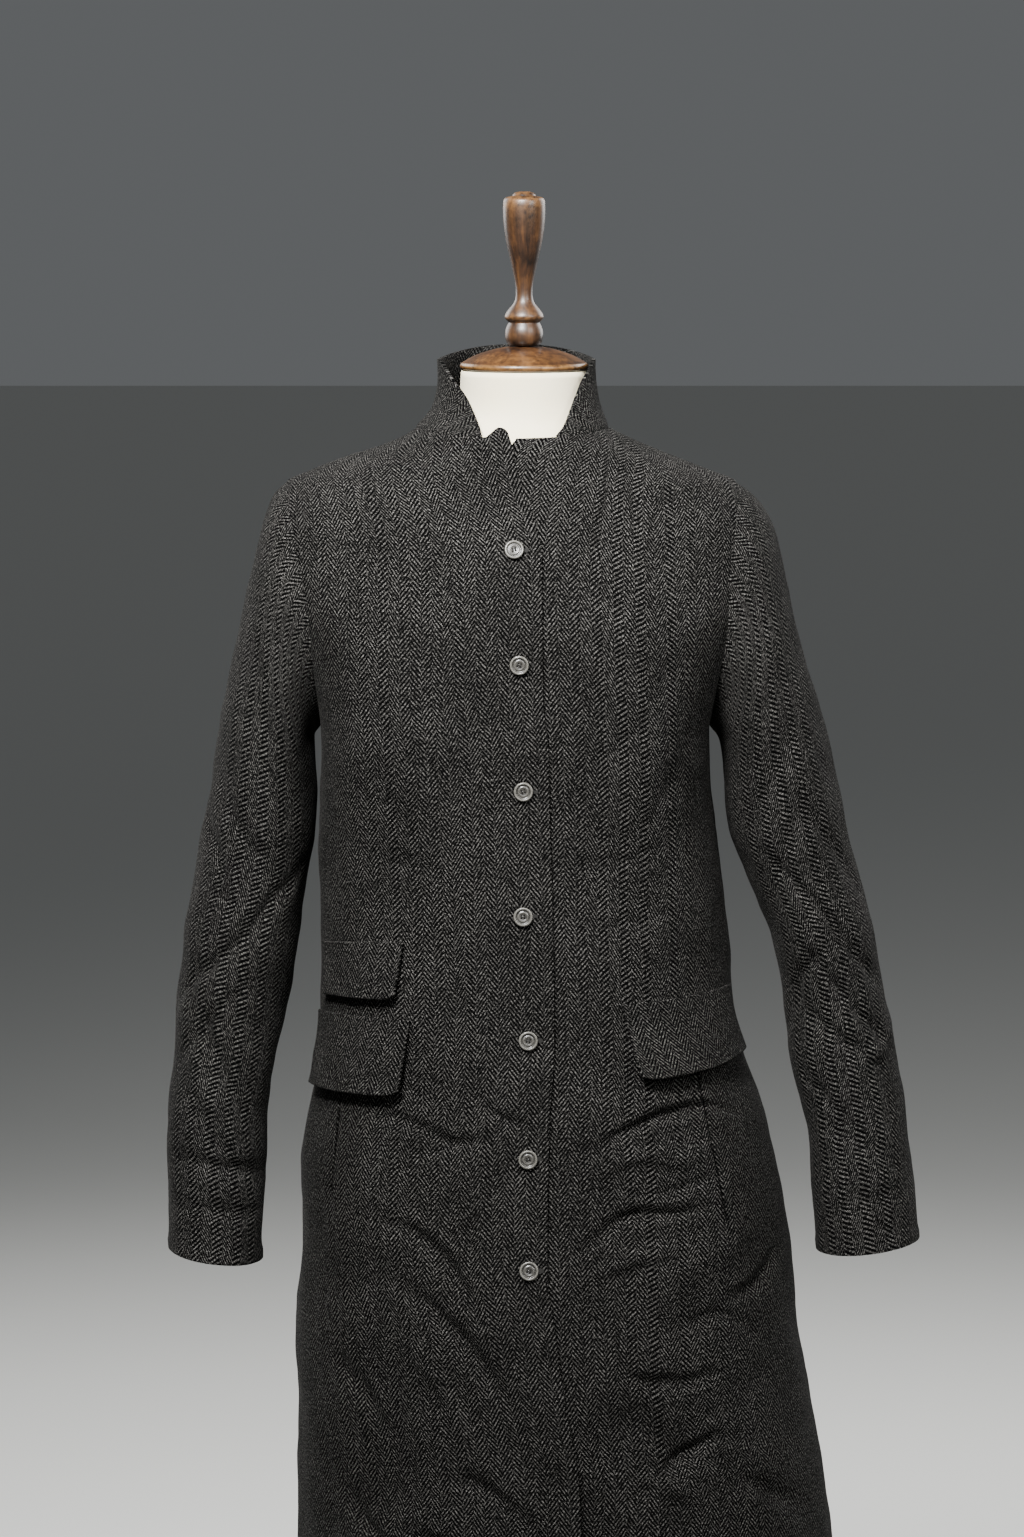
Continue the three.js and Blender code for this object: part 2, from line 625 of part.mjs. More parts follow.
// A flap lies on its panel along the top and stands away from it towards its free lower edge.
function flap(sizes) {
  const side = Math.sign(sizes.topOuter);
  const between = (a, b, t) => a + (b - a) * t;
  const grid = [];
  for (let i = 0; i <= FLAP_ROWS; i += 1) {
    const up = i / FLAP_ROWS;
    const row = [];
    for (let j = 0; j <= FLAP_COLUMNS; j += 1) {
      const out = j / FLAP_COLUMNS;
      const top = between(sizes.topInnerZ, sizes.topOuterZ, out);
      const low = between(sizes.lowInnerZ, sizes.lowOuterZ, out);
      const level = between(low, top, up);
      const inner = angleAtX(level, between(sizes.lowInnerX, sizes.topInnerX, up));
      const outer = degrees(between(sizes.lowOuter, sizes.topOuter, up));
      const angle = between(inner, outer, out);
      const proud = DOUBLE_CLOTH + 2 * SEAM_GAP + sizes.stand * (1 - up) ** 1.3;
      row.push(coatPoint(level, angle, proud));
    }
    grid.push(side < 0 ? row.reverse() : row);
  }
  return clothWall(grid, DOUBLE_CLOTH, false);
}

// A turned button with a raised rim, seated on the right front panel.
function buttonGeometry() {
  const profile = [
    [0, 0],
    [6.3, 0],
    [BUTTON_RADIUS, 1.2],
    [7, 2.7],
    [5.5, 2.9],
    [4.2, 1.7],
    [0, 1.7],
  ];
  const outline = profile.map(([radius, height]) => new THREE.Vector2(radius, height));
  return new THREE.LatheGeometry(outline, 14);
}

function addButton(place, number) {
  const angle = angleAtX(place.z, place.x);
  const proud = closingProud(place.z, place.x);
  const seat = coatPoint(place.z, angle, proud + SEAT_GAP);
  const across = coatPoint(place.z, angle + 0.02, proud).sub(coatPoint(place.z, angle - 0.02, proud));
  const up = coatPoint(place.z + 6, angle, proud).sub(coatPoint(place.z - 6, angle, proud));
  const outward = across.cross(up).normalize();
  const button = add(`button_${number}`, buttonGeometry(), horn);
  button.position.copy(seat);
  button.quaternion.setFromUnitVectors(new THREE.Vector3(0, 1, 0), outward);
}

const TORSO_COLUMNS = 28;
const TORSO_STEPS = 12;
const TORSO_DROP = 1.8;
const TORSO_INSET = 3.9;
const ARM_PLATE = 15;
const TORSO_SHIFT = 3;

function torsoRing(point) {
  const ring = [];
  for (let j = 0; j < TORSO_COLUMNS; j += 1) ring.push(point((2 * Math.PI * j) / TORSO_COLUMNS));
  return ring;
}

// The form: a plain body under the coat, shoulders that carry it, and the neck.
function torso() {
  const rings = [];
  const ovalRing = (section, z) =>
    rings.push(
      torsoRing((angle) => {
        const flat = ovalPoint(section, angle);
        return new THREE.Vector3(flat.x, flat.y, z);
      }),
    );
  const step = (TORSO[TORSO.length - 1].z - TORSO_BOTTOM) / TORSO_STEPS;
  for (let i = 0; i <= TORSO_STEPS; i += 1) {
    const z = TORSO_BOTTOM + step * i;
    const half = read(TORSO, "z", z, "half");
    const front = read(TORSO, "z", z, "front");
    const back = read(TORSO, "z", z, "back");
    ovalRing({ left: -half - TORSO_SHIFT, right: half - TORSO_SHIFT, front, back, power: 2.2 }, z);
  }
  for (const level of [1300, 1322, SHOULDER_LEVEL, ...SHOULDER_LEVELS.slice(0, 5)]) {
    const left = -read(ARM_SEAM, "z", level, "right") + ARM_PLATE;
    const right = read(ARM_SEAM, "z", level, "left") - ARM_PLATE;
    rings.push(
      torsoRing((angle) => {
        const point = coatPoint(level, angle, -TORSO_INSET);
        point.x = Math.min(right, Math.max(left, point.x));
        point.z -= TORSO_DROP;
        return point;
      }),
    );
  }
  for (const section of NECK) ovalRing({ ...section, power: 2 }, section.z);
  return ringSolid(rings);
}

function turned(profile, segments) {
  const outline = profile.map(([radius, height]) => new THREE.Vector2(radius, height));
  return new THREE.LatheGeometry(outline, segments).rotateX(Math.PI / 2);
}

// The wooden cap on the neck and the turned knob on it, as radius and height.
const CAP_PROFILE = [
  [0, CAP_BOTTOM],
  [48.5, CAP_BOTTOM],
  [51, CAP_BOTTOM + 2],
  [51, CAP_BOTTOM + 4.5],
  [49.5, CAP_BOTTOM + 6.5],
  [40, CAP_BOTTOM + 11],
  [26, CAP_BOTTOM + 15.5],
  [13, CAP_TOP],
  [0, CAP_TOP],
];
const FINIAL_PROFILE = [
  [0, 0.3],
  [11, 0.3],
  [14, 3],
  [15, 8],
  [15, 12],
  [12.8, 17.5],
  [12.8, 19.5],
  [15.4, 23.5],
  [14, 27.5],
  [9, 32.5],
  [6.7, 37],
  [6.6, 46],
  [9, 59],
  [12.6, 75.5],
  [15.8, 92],
  [16.7, 104],
  [16.4, 115],
  [14.5, 117.5],
  [9, 119.5],
  [6, 121.6],
  [0, 122.2],
];
const POLE_PROFILE = [
  [0, BASE_TOP + 0.3],
  [POLE_RADIUS, BASE_TOP + 0.3],
  [POLE_RADIUS, TORSO_BOTTOM - 0.3],
  [0, TORSO_BOTTOM - 0.3],
];
const BASE_PROFILE = [
  [0, 0],
  [BASE_RADIUS - 3, 0],
  [BASE_RADIUS, 3],
  [BASE_RADIUS, 15],
  [BASE_RADIUS - 6, 20],
  [110, 22],
  [34, 25],
  [25, BASE_TOP],
  [0, BASE_TOP],
];

add("front_right", frontPanel(-1), wool);
add("front_left", frontPanel(1), wool);
add("back", backPanel(), wool);
add("sleeve_right", sleeve(-1, RIGHT_SLEEVE), wool);
add("sleeve_left", sleeve(1, LEFT_SLEEVE), wool);
add("collar", collar(), wool);
for (const sizes of FLAPS) add(sizes.name, flap(sizes), wool);
BUTTONS.forEach((place, index) => addButton(place, index + 1));
add("form_torso", torso(), cotton);
add("neck_cap", turned(CAP_PROFILE, 32), wood);
const finialProfile = FINIAL_PROFILE.map(([radius, height]) => [radius, CAP_TOP + height]);
add("finial", turned(finialProfile, 16), wood);
add("pole", turned(POLE_PROFILE, 24), wood);
add("base", turned(BASE_PROFILE, 40), wood);

export default overcoat;
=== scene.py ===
import math

import bmesh
import bpy
import numpy as np
from mathutils import Matrix, Vector, noise


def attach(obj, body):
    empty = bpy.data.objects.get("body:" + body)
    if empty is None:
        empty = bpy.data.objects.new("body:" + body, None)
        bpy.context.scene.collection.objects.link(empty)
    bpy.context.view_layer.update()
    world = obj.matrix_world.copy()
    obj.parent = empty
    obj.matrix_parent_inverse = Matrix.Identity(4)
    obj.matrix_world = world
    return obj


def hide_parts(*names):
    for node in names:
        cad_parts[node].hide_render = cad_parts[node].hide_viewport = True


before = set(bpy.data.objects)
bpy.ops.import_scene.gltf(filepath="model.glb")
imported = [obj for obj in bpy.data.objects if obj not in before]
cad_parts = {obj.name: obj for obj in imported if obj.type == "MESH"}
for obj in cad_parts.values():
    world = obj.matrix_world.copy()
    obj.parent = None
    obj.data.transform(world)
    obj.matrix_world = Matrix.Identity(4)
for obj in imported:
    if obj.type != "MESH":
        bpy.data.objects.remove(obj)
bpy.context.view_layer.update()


# Camera
# It stands level with the collar, 4.5 m in front of the coat, and looks a little down.
camera_data = bpy.data.cameras.new("camera")
camera_data.lens = 131.75
camera_data.sensor_width = 36.0
camera_data.clip_end = 100.0
camera = bpy.data.objects.new("camera", camera_data)
camera.location = (-0.0096, -4.470, 1.630)
camera.rotation_euler = (math.radians(90 - 6.6), 0, 0)
bpy.context.scene.collection.objects.link(camera)
bpy.context.scene.camera = camera


# Floor and studio light
# A pale matt floor with an even surround. A large soft light stands high above the front, a
# little to the left, with a weaker one on the right. Two more light the back from both sides.
def colour(code):
    """A colour from its sRGB hex value, turned to linear light."""
    values = [int(code[i:i + 2], 16) / 255 for i in (1, 3, 5)]
    return tuple(v / 12.92 if v <= 0.04045 else ((v + 0.055) / 1.055) ** 2.4 for v in values) + (1.0,)


def node(tree, kind, inputs=(), **settings):
    """Adds a shader node. An input is a value, a socket, or a node whose first output is linked."""
    made = tree.nodes.new("ShaderNode" + kind)
    for name, value in settings.items():
        setattr(made, name, value)
    for socket, value in dict(inputs).items():
        if isinstance(value, bpy.types.Node):
            value = next(output for output in value.outputs if output.enabled)
        if isinstance(value, bpy.types.NodeSocket):
            tree.links.new(value, made.inputs[socket])
        else:
            made.inputs[socket].default_value = value
    return made


def new_material(name):
    material = bpy.data.materials.new(name)
    material.use_nodes = True
    material.node_tree.nodes.clear()
    return material, material.node_tree


def finish_material(tree, shader):
    node(tree, "OutputMaterial", {"Surface": shader})


def new_piece(name, bm, materials):
    """Turns a bmesh into a smooth-shaded object at the origin."""
    mesh = bpy.data.meshes.new(name)
    bm.to_mesh(mesh)
    bm.free()
    for polygon in mesh.polygons:
        polygon.use_smooth = True
    for material in materials:
        mesh.materials.append(material)
    piece = bpy.data.objects.new(name, mesh)
    bpy.context.scene.collection.objects.link(piece)
    return piece


floor_paint, tree = new_material("matt_floor_paint")
finish_material(tree, node(tree, "BsdfPrincipled", {
    "Base Color": colour("#d6d6d2"),
    "Roughness": 0.9,
}))
FLOOR_SIZE = 30.0
bm = bmesh.new()
bmesh.ops.create_grid(bm, x_segments=1, y_segments=1, size=FLOOR_SIZE)
new_piece("floor", bm, [floor_paint])

world = bpy.data.worlds.new("studio")
world.use_nodes = True
world.node_tree.nodes["Background"].inputs["Color"].default_value = colour("#cdd1d4")
world.node_tree.nodes["Background"].inputs["Strength"].default_value = 0.19
bpy.context.scene.world = world


def soft_light(name, place, aim, size, power, spread):
    data = bpy.data.lights.new(name, "AREA")
    data.shape = "DISK"
    data.size = size
    data.energy = power
    data.spread = math.radians(spread)
    light = bpy.data.objects.new(name, data)
    light.location = place
    light.rotation_euler = (Vector(aim) - Vector(place)).to_track_quat("-Z", "Y").to_euler()
    bpy.context.scene.collection.objects.link(light)


COAT_CHEST = (0.0, 0.0, 1.48)
COAT_MIDDLE = (0.0, 0.0, 1.05)
soft_light("key", (-0.55, -1.9, 3.1), COAT_CHEST, 1.0, 35, 54)
soft_light("fill", (2.0, -2.2, 2.7), COAT_CHEST, 1.6, 9, 55)
soft_light("back_left", (-2.7, 2.6, 2.4), COAT_MIDDLE, 3.0, 65, 120)
soft_light("back_right", (2.7, 2.6, 2.4), COAT_MIDDLE, 3.0, 65, 120)


# The form's body and neck
# A padded body covered in tightly stretched, unbleached calico. It carries the coat on its
# shoulders, and only its neck shows above the closing.
def table(names, *rows):
    """A table of numbers whose columns are read by name."""
    return dict(zip(names.split(), np.array(rows, dtype=float).T))


def read(columns, key, name, at):
    """One column of a table at places between its rows, along a smooth curve with no overshoot."""
    places = columns[key]
    values = columns[name]
    slopes = np.diff(values) / np.diff(places)
    before = np.concatenate([slopes[:1], slopes])
    after = np.concatenate([slopes, slopes[-1:]])
    total = np.where(before * after > 0, before + after, 1.0)
    tangents = np.where(before * after > 0, 2 * before * after / total, 0.0)
    at = np.clip(at, places[0], places[-1])
    i = np.clip(np.searchsorted(places, at, side="right") - 1, 0, len(slopes) - 1)
    span = places[i + 1] - places[i]
    t = (at - places[i]) / span
    return (
        (2 * t ** 3 - 3 * t ** 2 + 1) * values[i]
        + (t ** 3 - 2 * t ** 2 + t) * span * tangents[i]
        + (3 * t ** 2 - 2 * t ** 3) * values[i + 1]
        + (t ** 3 - t ** 2) * span * tangents[i + 1]
    )


def oval(section, angle, proud=0.0):
    """X and Y round an oval section. Angle 0 is the front and a positive angle turns towards +X."""
    across = np.sin(angle)
    along = np.cos(angle)
    middle = (section["left"] + section["right"]) / 2
    half = (section["right"] - section["left"]) / 2 + proud
    depth = np.where(along > 0, -section["front"] - proud, section["back"] + proud)
    power = 2 / section["power"]
    return (
        middle + half * np.sign(across) * np.abs(across) ** power,
        depth * np.abs(along) ** power,
    )


def ease(t):
    clamped = np.clip(t, 0, 1)
    return clamped * clamped * (3 - 2 * clamped)


CHEST_LEVEL = 1.290
NECK_LEVEL = 1.386
NECK_DIP = 0.005
NECK_BACK = 0.009


def neck_rise(angle, level):
    """The neck seam dips in front and rises at the back, and levels near it follow."""
    along = np.cos(angle)
    height = np.where(along > 0, -NECK_DIP, NECK_BACK) * along ** 2
    return height * ease((level - CHEST_LEVEL) / (NECK_LEVEL - CHEST_LEVEL))


def grain_lengths(points, origin):
    """How far each point lies across and along the cloth's grain, measured over its surface."""
    across = np.zeros(points.shape[:2])
    across[:, 1:] = np.cumsum(np.linalg.norm(np.diff(points, axis=1), axis=2), axis=1)
    across -= across[:, origin:origin + 1]
    threads = np.linspace(across.min(), across.max(), 200)
    along = np.zeros(points.shape[:2])
    height = np.zeros(len(threads))
    before = None
    for i, row in enumerate(points):
        here = np.stack([np.interp(threads, across[i], row[:, k]) for k in range(3)], axis=1)
        if before is not None:
            height += np.linalg.norm(here - before, axis=1)
        before = here
        along[i] = np.interp(across[i], threads, height)
    return across, along


def cloth_grid(points, origin, closed=False):
    """A bmesh sheet through rows of points, with its grain lengths in a UV map."""
    rows, columns = points.shape[:2]
    across, along = grain_lengths(points, origin)
    bm = bmesh.new()
    bmesh.ops.create_grid(bm, x_segments=columns - 1, y_segments=rows - 1, size=1)
    grain = bm.loops.layers.uv.new("grain")
    spots = {}
    for vertex in bm.verts:
        row = round((vertex.co.y + 1) / 2 * (rows - 1))
        column = round((vertex.co.x + 1) / 2 * (columns - 1))
        spots[vertex] = (row, column)
        vertex.co = points[row, column]
    for face in bm.faces:
        for loop in face.loops:
            spot = spots[loop.vert]
            loop[grain].uv = (across[spot], along[spot])
    if closed:
        ends = [vertex for vertex, spot in spots.items() if spot[1] in (0, columns - 1)]
        bmesh.ops.remove_doubles(bm, verts=ends, dist=1e-5)
    return bm


# Calico is a plain weave of unbleached cotton: cream and matt, with a fine even grid of threads
# and faint blotches from handling. The threads are drawn 1.1 mm apart, twice the real distance.
CALICO_THREAD = 0.0011


def calico():
    material, tree = new_material("unbleached_calico")
    grain = node(tree, "UVMap", uv_map="grain")
    split = node(tree, "SeparateXYZ", {0: grain})
    thread_turns = 2 * math.pi / CALICO_THREAD
    weft = node(tree, "Math", {0: split.outputs[1], 1: thread_turns}, operation="MULTIPLY")
    weft = node(tree, "Math", {0: weft}, operation="SINE")
    warp = node(tree, "Math", {0: split.outputs[0], 1: thread_turns}, operation="MULTIPLY")
    warp = node(tree, "Math", {0: warp}, operation="SINE")
    weave = node(tree, "Math", {0: weft, 1: warp}, operation="MULTIPLY")
    slub = node(tree, "TexNoise", {"Vector": grain, "Scale": 900.0, "Detail": 2.0})
    height = node(tree, "Math", {0: weave, 1: slub}, operation="ADD")
    blotch = node(tree, "TexNoise", {"Vector": grain, "Scale": 28.0, "Detail": 3.0})
    cream = node(tree, "Mix", {
        0: blotch, 6: colour("#f2e5bf"), 7: colour("#fbf2d6")}, data_type="RGBA")
    bump = node(tree, "Bump", {"Height": height, "Strength": 0.25, "Distance": 0.0002})
    finish_material(tree, node(tree, "BsdfPrincipled", {
        "Base Color": cream,
        "Roughness": 0.88,
        "Specular IOR Level": 0.25,
        "Sheen Weight": 0.15,
        "Normal": bump,
    }))
    return material


FORM = table(
    "z left right front back power",
    (0.7450, -0.1490, 0.1430, 0.1100, 0.1160, 2.2),
    (0.8000, -0.1530, 0.1470, 0.1140, 0.1220, 2.2),
    (0.8600, -0.1530, 0.1470, 0.1150, 0.1220, 2.2),
    (0.9250, -0.1460, 0.1400, 0.1100, 0.1140, 2.2),
    (1.0100, -0.1230, 0.1170, 0.0940, 0.0920, 2.2),
    (1.0900, -0.1290, 0.1230, 0.1020, 0.0960, 2.2),
    (1.1700, -0.1370, 0.1310, 0.1210, 0.1060, 2.2),
    (1.2150, -0.1420, 0.1360, 0.1210, 0.1120, 2.2),
    (1.2750, -0.1500, 0.1430, 0.1060, 0.1120, 2.2),
    (1.3220, -0.1660, 0.1500, 0.0960, 0.1060, 2.1),
    (1.3400, -0.1720, 0.1520, 0.0890, 0.1010, 1.95),
    (1.3472, -0.1690, 0.1480, 0.0865, 0.0980, 1.95),
    (1.3552, -0.1510, 0.1290, 0.0830, 0.0945, 1.95),
    (1.3632, -0.1280, 0.1090, 0.0795, 0.0905, 1.95),
    (1.3702, -0.1070, 0.0910, 0.0760, 0.0860, 2.0),
    (1.3772, -0.0910, 0.0760, 0.0720, 0.0815, 2.1),
    (1.3830, -0.0760, 0.0640, 0.0620, 0.0680, 2.1),
    (1.3870, -0.0680, 0.0580, 0.0570, 0.0610, 2.0),
    (1.3960, -0.0570, 0.0535, 0.0520, 0.0550, 2.0),
    (1.4100, -0.0515, 0.0505, 0.0500, 0.0510, 2.0),
    (1.4307, -0.0500, 0.0500, 0.0500, 0.0500, 2.0),
)
FORM_ROWS = 150
FORM_COLUMNS = 96
SHOULDER_TOP = 1.3830
SHOULDER_FADE = 0.004

form_calico = calico()
form_levels = np.linspace(FORM["z"][0], FORM["z"][-1], FORM_ROWS)[:, None]
form_turns = np.linspace(-math.pi, math.pi, FORM_COLUMNS + 1)[None, :]
form_section = {name: read(FORM, "z", name, form_levels) for name in FORM}
form_x, form_y = oval(form_section, form_turns)
shoulders_only = ease((SHOULDER_TOP - form_levels) / SHOULDER_FADE)
form_z = form_levels + neck_rise(form_turns, form_levels) * shoulders_only
form_grid = np.stack(np.broadcast_arrays(form_x, form_y, form_z), axis=-1)
bm = cloth_grid(form_grid, FORM_COLUMNS // 2, closed=True)
bmesh.ops.holes_fill(bm, edges=[edge for edge in bm.edges if edge.is_boundary], sides=0)
form_torso = new_piece("form_body", bm, [form_calico])
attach(form_torso, "root")
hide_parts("form_torso")


# Neck cap, turned knob, pole and base
# Beech, turned on a lathe, stained brown and varnished. The knob is doweled into the cap, and
# handling has worn the stain off its rims. Pole and base have the same finish.
def turned_wood(name, dark, middle, light, rim_mark, grain_turn, gloss):
    """Varnished beech. grain_turn turns the grain, which runs along Z, to the piece's own."""
    material, tree = new_material(name)
    place = node(tree, "TexCoord").outputs["Object"]
    along = node(tree, "Mapping", {
        "Vector": place, "Rotation": grain_turn, "Scale": (260.0, 260.0, 14.0)})
    wave = node(tree, "TexNoise", {
        "Vector": along, "Scale": 1.0, "Detail": 4.0, "Roughness": 0.6, "Distortion": 0.6})
    pores = node(tree, "Mapping", {
        "Vector": place, "Rotation": grain_turn, "Scale": (1500.0, 1500.0, 130.0)})
    flecks = node(tree, "TexNoise", {"Vector": pores, "Scale": 1.0, "Detail": 2.0})
    blotch = node(tree, "TexNoise", {"Vector": place, "Scale": 55.0, "Detail": 3.0})
    stain = node(tree, "Math", {0: wave, 1: blotch}, operation="ADD")
    stain = node(tree, "Math", {0: stain, 1: 0.5}, operation="MULTIPLY")
    ramp = node(tree, "ValToRGB", {0: stain})
    ramp.color_ramp.elements[0].position = 0.36
    ramp.color_ramp.elements[0].color = colour(dark)
    ramp.color_ramp.elements[1].position = 0.66
    ramp.color_ramp.elements[1].color = colour(light)
    ramp.color_ramp.elements.new(0.5).color = colour(middle)
    fleck_share = node(tree, "MapRange", {
        "Value": flecks, "From Min": 0.60, "From Max": 0.72, "To Max": 0.45})
    flecked = node(tree, "Mix", {
        0: fleck_share, 6: ramp, 7: colour(dark)}, data_type="RGBA")
    wear_and_rim_highlight = node(tree, "Attribute", attribute_name="wear_and_rim_highlight").outputs["Fac"]
    scuffs = node(tree, "TexNoise", {"Vector": place, "Scale": 240.0, "Detail": 3.0})
    scuffs = node(tree, "MapRange", {
        "Value": scuffs, "From Min": 0.30, "From Max": 0.75})
    wear_share = node(tree, "Math", {0: wear_and_rim_highlight, 1: scuffs}, operation="MULTIPLY")
    surface = node(tree, "Mix", {
        0: wear_share, 6: flecked, 7: colour(rim_mark)}, data_type="RGBA")
    bump = node(tree, "Bump", {"Height": wave, "Strength": 0.12, "Distance": 0.0004})
    shine = node(tree, "MapRange", {
        "Value": blotch, "To Min": gloss - 0.06, "To Max": gloss + 0.12})
    finish_material(tree, node(tree, "BsdfPrincipled", {
        "Base Color": surface,
        "Roughness": shine,
        "IOR": 1.5,
        "Coat Weight": 0.12,
        "Coat Roughness": 0.25,
        "Normal": bump,
    }))
    return material


def lathe(profile, turns):
    """A mesh spun from rows of radius, height and rim value, closed at both its poles."""
    bm = bmesh.new()
    # The rim value is stain rubbed off the turned wood, and a painted highlight on the buttons.
    wear_and_rim_highlight = bm.verts.layers.float.new("wear_and_rim_highlight")
    points = [bm.verts.new((radius, 0, height)) for radius, height, _ in profile]
    for vertex, (_, _, rim_mark) in zip(points, profile):
        vertex[wear_and_rim_highlight] = rim_mark
    edges = [bm.edges.new(pair) for pair in zip(points, points[1:])]
    bmesh.ops.spin(bm, geom=points + edges, cent=(0, 0, 0), axis=(0, 0, 1),
                   angle=2 * math.pi, steps=turns, use_merge=True)
    bmesh.ops.remove_doubles(bm, verts=bm.verts, dist=1e-6)
    bmesh.ops.recalc_face_normals(bm, faces=bm.faces)
    return bm


TURNED_SIDES = 96
SHARP_RIM = math.radians(38)


def turned_piece(name, node_name, profile, material, rounding):
    piece = new_piece(name, lathe(profile, TURNED_SIDES), [material])
    bevel = piece.modifiers.new("rounded_rims", "BEVEL")
    bevel.width = rounding
    bevel.segments = 2
    bevel.limit_method = "ANGLE"
    bevel.angle_limit = SHARP_RIM
    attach(piece, "root")
    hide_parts(node_name)


UPRIGHT = (0.0, 0.0, 0.0)
LYING = (math.pi / 2, 0.0, 0.0)
cap_wood = turned_wood("varnished_beech_cap", "#1c0f07", "#3d2511", "#5f3e1e", "#805c30",
                       LYING, 0.34)
knob_wood = turned_wood("varnished_beech_knob", "#130a05", "#2d1b0d", "#4c3118", "#6c4c2c",
                        UPRIGHT, 0.38)
CAP_BOTTOM = 1.431
CAP_TOP = 1.450
CAP = [
    (0.0000, 0.0000, 0), (0.0470, 0.0000, 0), (0.0490, 0.0004, 0), (0.0504, 0.0014, 0.1),
    (0.0510, 0.0028, 0.8), (0.0509, 0.0042, 1.0), (0.0500, 0.0056, 0.6), (0.0488, 0.0064, 0),
    (0.0482, 0.0067, 0), (0.0440, 0.0092, 0.2), (0.0380, 0.0122, 0.1), (0.0300, 0.0150, 0),
    (0.0220, 0.0171, 0), (0.0140, 0.0185, 0), (0.0000, 0.0190, 0),
]
cap_profile = [(radius, CAP_BOTTOM + rise, wear_and_rim_highlight) for radius, rise, wear_and_rim_highlight in CAP]
turned_piece("neck_cap_wood", "neck_cap", cap_profile, cap_wood, 0.0005)

KNOB = [
    (0.0000, 0.0003, 0), (0.0105, 0.0003, 0), (0.0125, 0.0010, 0), (0.0141, 0.0034, 0),
    (0.0149, 0.0066, 0.2), (0.0151, 0.0100, 0.3), (0.0147, 0.0132, 0.2), (0.0137, 0.0160, 0.1),
    (0.0128, 0.0176, 0), (0.0124, 0.0186, 0), (0.0127, 0.0195, 0), (0.0140, 0.0206, 0.3),
    (0.0152, 0.0221, 0.9), (0.0155, 0.0236, 1.0), (0.0150, 0.0251, 0.6), (0.0136, 0.0276, 0.2),
    (0.0112, 0.0306, 0.1), (0.0088, 0.0334, 0), (0.0072, 0.0366, 0), (0.0066, 0.0408, 0),
    (0.0067, 0.0460, 0), (0.0076, 0.0522, 0), (0.0092, 0.0596, 0), (0.0110, 0.0676, 0),
    (0.0128, 0.0756, 0), (0.0145, 0.0840, 0), (0.0158, 0.0922, 0.1), (0.0165, 0.0992, 0.2),
    (0.0168, 0.1056, 0.3), (0.0167, 0.1110, 0.7), (0.0165, 0.1146, 1.0), (0.0157, 0.1164, 1.0),
    (0.0140, 0.1176, 1.0), (0.0110, 0.1182, 0.8), (0.0096, 0.1186, 0.5), (0.0090, 0.1196, 0.8),
    (0.0076, 0.1211, 1.0), (0.0045, 0.1220, 0.9), (0.0000, 0.1222, 0.8),
]
knob_profile = [(radius, CAP_TOP + rise, wear_and_rim_highlight) for radius, rise, wear_and_rim_highlight in KNOB]
turned_piece("knob_wood", "finial", knob_profile, knob_wood, 0.0003)

FORM_BOTTOM = 0.745
BASE_TOP = 0.034
POLE_PLAY = 0.0003
POLE_FOOT = BASE_TOP + POLE_PLAY
POLE_HEAD = FORM_BOTTOM - POLE_PLAY
POLE = [
    (0, POLE_FOOT, 0), (0.019, POLE_FOOT, 0), (0.019, POLE_FOOT + 0.008, 0.6),
    (0.015, POLE_FOOT + 0.013, 0), (0.015, POLE_HEAD - 0.020, 0),
    (0.020, POLE_HEAD - 0.014, 0.5), (0.020, POLE_HEAD, 0), (0, POLE_HEAD, 0),
]
stand_wood = turned_wood("varnished_beech_stand", "#1b0f08", "#3a2210", "#5c3c1e", "#7d5a35",
                         UPRIGHT, 0.38)
turned_piece("pole_wood", "pole", POLE, stand_wood, 0.001)

BASE = [
    (0, 0, 0), (0.175, 0, 0), (0.178, 0.003, 0.1), (0.178, 0.0145, 0.3), (0.1765, 0.0180, 0.7),
    (0.172, 0.0200, 0.2), (0.166, 0.0203, 0), (0.160, 0.0196, 0), (0.154, 0.0203, 0.4),
    (0.110, 0.0220, 0), (0.060, 0.0236, 0), (0.036, 0.0252, 0), (0.030, 0.0285, 0.2),
    (0.027, 0.0325, 0.7), (0.024, BASE_TOP, 0.4), (0, BASE_TOP, 0),
]
base_wood = turned_wood("varnished_beech_base", "#1b0f08", "#3a2210", "#5c3c1e", "#7d5a35",
                        LYING, 0.38)
turned_piece("base_wood", "base", BASE, base_wood, 0.001)


# Back panel
# Herringbone wool in one piece from the neck to the hem, sewn to the fronts down both sides and
# along the shoulders. The coat's whole form is worked out from the sections below.
UNDERARM_LEVEL = 1.149
SHOULDER_LEVEL = 1.342
HEM_LEVEL = 0.478
ARMHOLE_FRONT = 0.076
ARMHOLE_BACK = 0.086
CLOTH = 0.002
DOUBLE_CLOTH = 0.003

